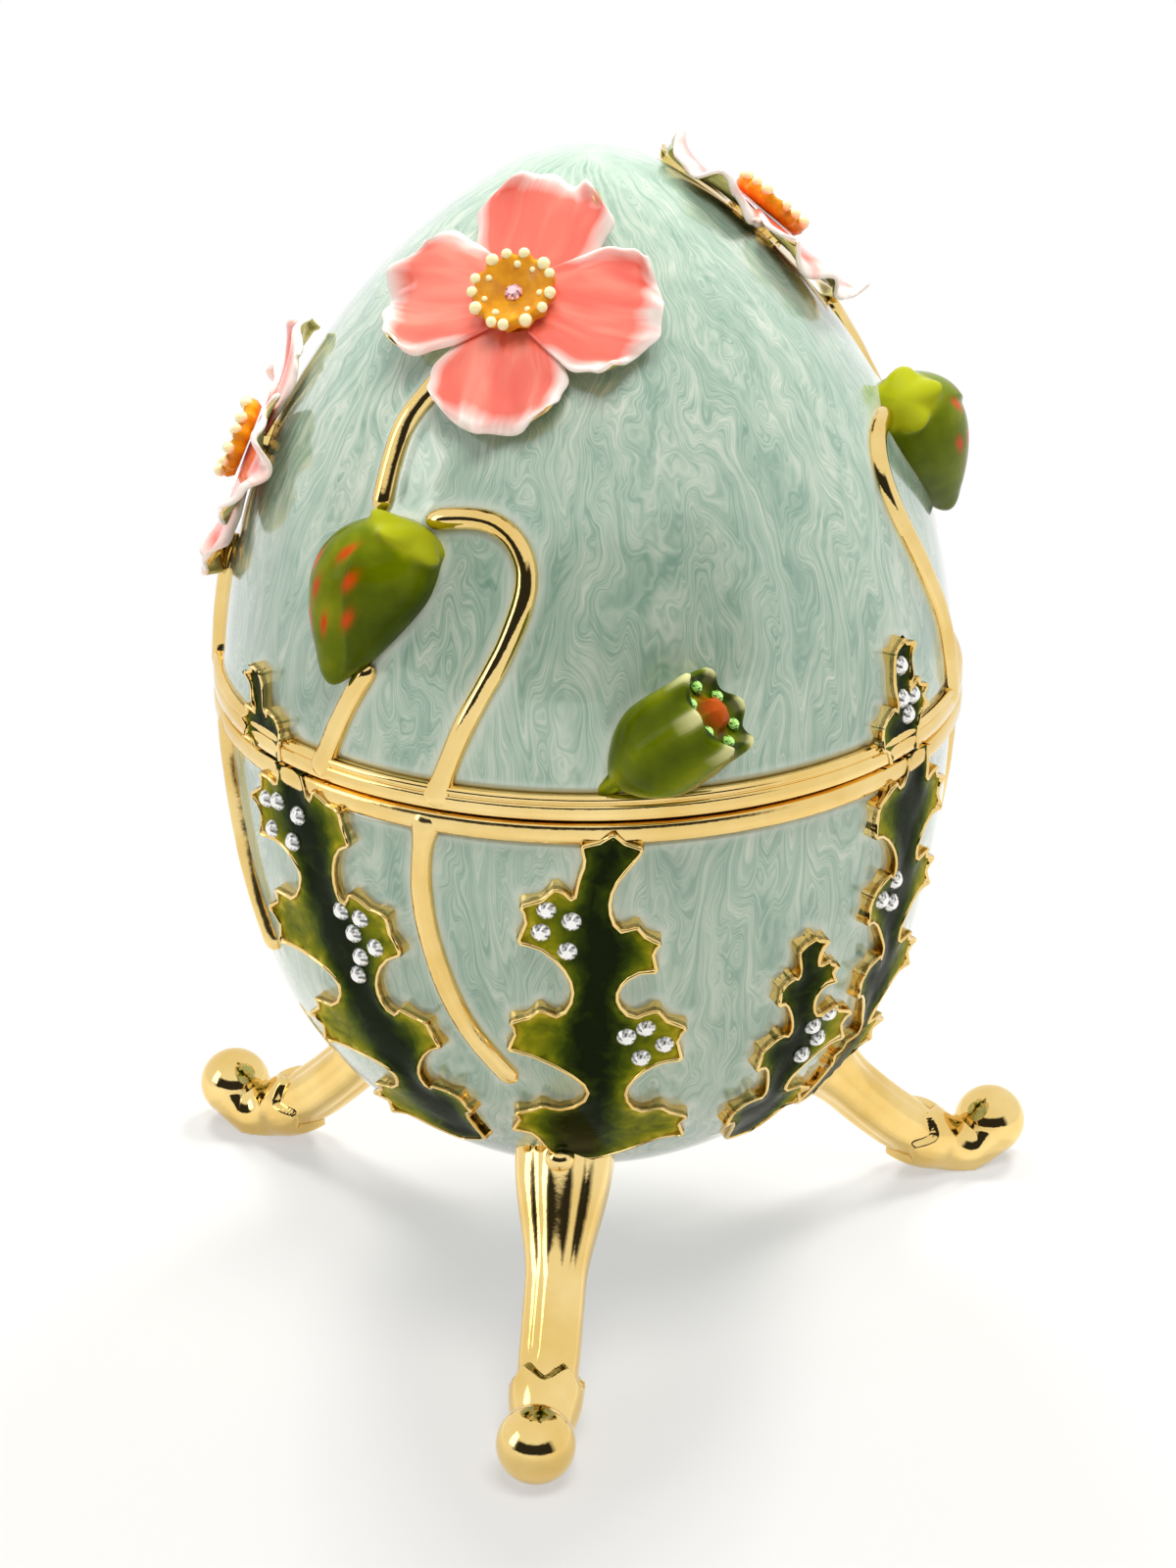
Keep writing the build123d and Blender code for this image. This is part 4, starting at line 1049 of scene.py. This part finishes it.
borderTree = treeOf(goldBorders)
for half in upward:
    mouth = egg[half + "Rim"] + egg["bond"]
    outer = meridianWalk(half, mouth, 0.0, skinForm["pitch"])
    inner = meridianWalk(half, mouth, -egg["enamel"], skinForm["insidePitch"])
    bm = spun(inner[::-1] + outer, skinForm["steps"])
    border = bm.verts.layers.float.new("border")
    for vert in bm.verts:
        distance, normal = eggDistance(vert.co)
        if distance > -skinForm["outside"]:
            nearGold = borderTree.find(vert.co)[2]
            nearRim = abs(vert.co.z - egg["seam"]) - mouth
            share = 1 - min(nearGold, nearRim) / skinForm["borderReach"]
            vert[border] = max(0.0, min(1.0, share))
            vert.co += normal * skinForm["swell"] * ease(0.0, 1.0, vert[border])
    finishPiece(bm, half + "_aqua_skin", half + "_enamel", [aquaEnamel])
    outside = -egg["enamel"] - egg["bond"]
    mouth = egg["slit"] if half == "lid" else 0.001
    outer = meridianWalk(half, mouth, outside, shellForm["pitch"])
    inner = meridianWalk(half, mouth, outside - egg["wall"], shellForm["pitch"])
    shell = spun(inner[::-1] + outer, shellForm["steps"])
    finishPiece(shell, half + "_gold_shell", half + "_shell", [satinGold], sharp=50)

collarOut = -egg["enamel"] - egg["wall"] - 2 * egg["bond"]
low = surfaceFrame(0.0, -collarForm["seat"], collarOut).translation
lowIn = surfaceFrame(0.0, -collarForm["seat"], collarOut - collarForm["wall"]).translation
reach, seam, soft = egg["radius"] + collarOut, egg["seam"], collarForm["round"]
neckOut, neckIn, top = reach - collarForm["clearance"], reach - collarForm["wall"], seam + collarForm["rise"]
bm = spun([(-lowIn.y, lowIn.z), (-low.y, low.z), (reach, seam), (neckOut, seam), (neckOut, top - soft),
           (neckOut - soft, top), (neckIn + soft, top), (neckIn, top - soft), (neckIn, seam)],
          collarForm["steps"], closed=True)
finishPiece(bm, "mouth_collar", "locating_collar", [polishedGold], sharp=40)
for node in ("cup_hinge", "lid_hinge", "hinge_pin", "flower_posts"):
    mesh = frame["nodes"][node].data
    mesh.materials.clear()
    mesh.materials.append(polishedGold)
print("egg body made")


# floor, light and camera
stageForm = {"floorSize": 4.0, "floorColour": (0.68, 0.66, 0.625, 1.0), "middle": (0.0, 0.0, 0.055),
             "fade": [(0.055, 0.5), (0.1, 0.7), (0.14, 1.0)],  # shadows fade out to white
             "room": [(0.0, 0.1), (0.36, 0.2), (0.66, 0.42)]}
lamps = {  # spot, width, height, watts and whether metal shows it
    "backLeft": ((-0.25, 0.45, 0.72), 0.22, 0.28, 5.8, False),
    "backRight": ((0.25, 0.45, 0.72), 0.22, 0.28, 5.8, False),
    "key": ((0.15, -0.38, 0.95), 0.5, 0.4, 6.6, False),
    "frontLeft": ((-0.75, -0.3, 0.35), 0.3, 0.5, 1.0, True),
}
cameraForm = {"spot": (36.19, -344.32, 199.13), "aim": (0.0, 0.0, 47.5), "focal": 4195.0, "imageHeight": 1600.0,
              "sensor": 36.0}


def rayKinds(tree):  # 1 for what the camera sees, and 1 for what a mirror or glass sees
    path = shaderNode(tree, "LightPath").outputs
    return path["Is Camera Ray"], mathNode("MAXIMUM", path["Is Glossy Ray"], path["Is Transmission Ray"])


def aimed(thing, spot, aim):
    thing.location = spot
    thing.rotation_euler = (Vector(aim) - Vector(spot)).to_track_quat("-Z", "Y").to_euler()
    scene.collection.objects.link(thing)


bm = bmesh.new()
bmesh.ops.create_grid(bm, x_segments=1, y_segments=1, size=stageForm["floorSize"])
sheet = bpy.data.meshes.new("floor")
bm.to_mesh(sheet)
bm.free()
floor = bpy.data.objects.new("floor", sheet)
scene.collection.objects.link(floor)
floor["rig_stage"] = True

floorPaint = bpy.data.materials.new("paleFloor")
floorPaint.use_nodes = True
tree = floorPaint.node_tree
tree.nodes.remove(tree.nodes["Principled BSDF"])
plain = shaderNode(tree, "BsdfDiffuse", in_Color=stageForm["floorColour"])
glow = shaderNode(tree, "Emission", in_Strength=1.0)
ground = shaderNode(tree, "TexCoord").outputs["Object"]
reach = shaderNode(tree, "VectorMath", operation="LENGTH", in_Vector=ground).outputs["Value"]
seen = scaled(mathNode("MAXIMUM", *rayKinds(tree)), ramp(reach, stageForm["fade"]))
blend = shaderNode(tree, "MixShader")
for socket, value in zip(blend.inputs, (seen, plain.outputs[0], glow.outputs[0])):
    feed(socket, value)
feed(tree.nodes["Material Output"].inputs["Surface"], blend.outputs[0])
sheet.materials.append(floorPaint)

world = bpy.data.worlds.new("studio")
scene.world = world
world.use_nodes = True
tree = world.node_tree
direct, inMirror = rayKinds(tree)
direction = shaderNode(tree, "TexCoord").outputs["Generated"]
x, y, z = shaderNode(tree, "SeparateXYZ", in_Vector=direction).outputs
front = scaled(y, 0.5, 0.5)  # 0 on the camera's side, 1 behind the egg
white, dark = (1.0, 1.0, 1.0, 1.0), (0.03, 0.03, 0.03, 1.0)
behindCamera = ramp(front, [(0.2, 1.0), (0.3, 0.0)])
underLamps = ramp(z, [(0.46, 1.0), (0.54, 0.0)])
mirrored = mixColour(scaled(behindCamera, underLamps), white, dark)  # what metal shows
shown = mixColour(inMirror, ramp(front, stageForm["room"]), mirrored)
feed(tree.nodes["Background"].inputs["Color"], mixColour(direct, shown, white))

for name, (spot, width, height, watts, shines) in lamps.items():
    light = bpy.data.lights.new(name, "AREA")
    light.shape = "RECTANGLE"
    light.size, light.size_y, light.energy = width, height, watts
    lamp = bpy.data.objects.new(name, light)
    lamp.visible_glossy = shines
    aimed(lamp, spot, stageForm["middle"])

lens = bpy.data.cameras.new("camera")
lens.sensor_width = cameraForm["sensor"]
lens.lens = cameraForm["focal"] / cameraForm["imageHeight"] * cameraForm["sensor"]
lens.clip_start, lens.clip_end = 0.01, 20.0
camera = bpy.data.objects.new("camera", lens)
aimed(camera, toFrame @ Vector(cameraForm["spot"]), toFrame @ Vector(cameraForm["aim"]))
scene.camera = camera
scene.view_settings.view_transform = "Standard"

bpy.context.view_layer.update()
low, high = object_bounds()
print("scene ready")
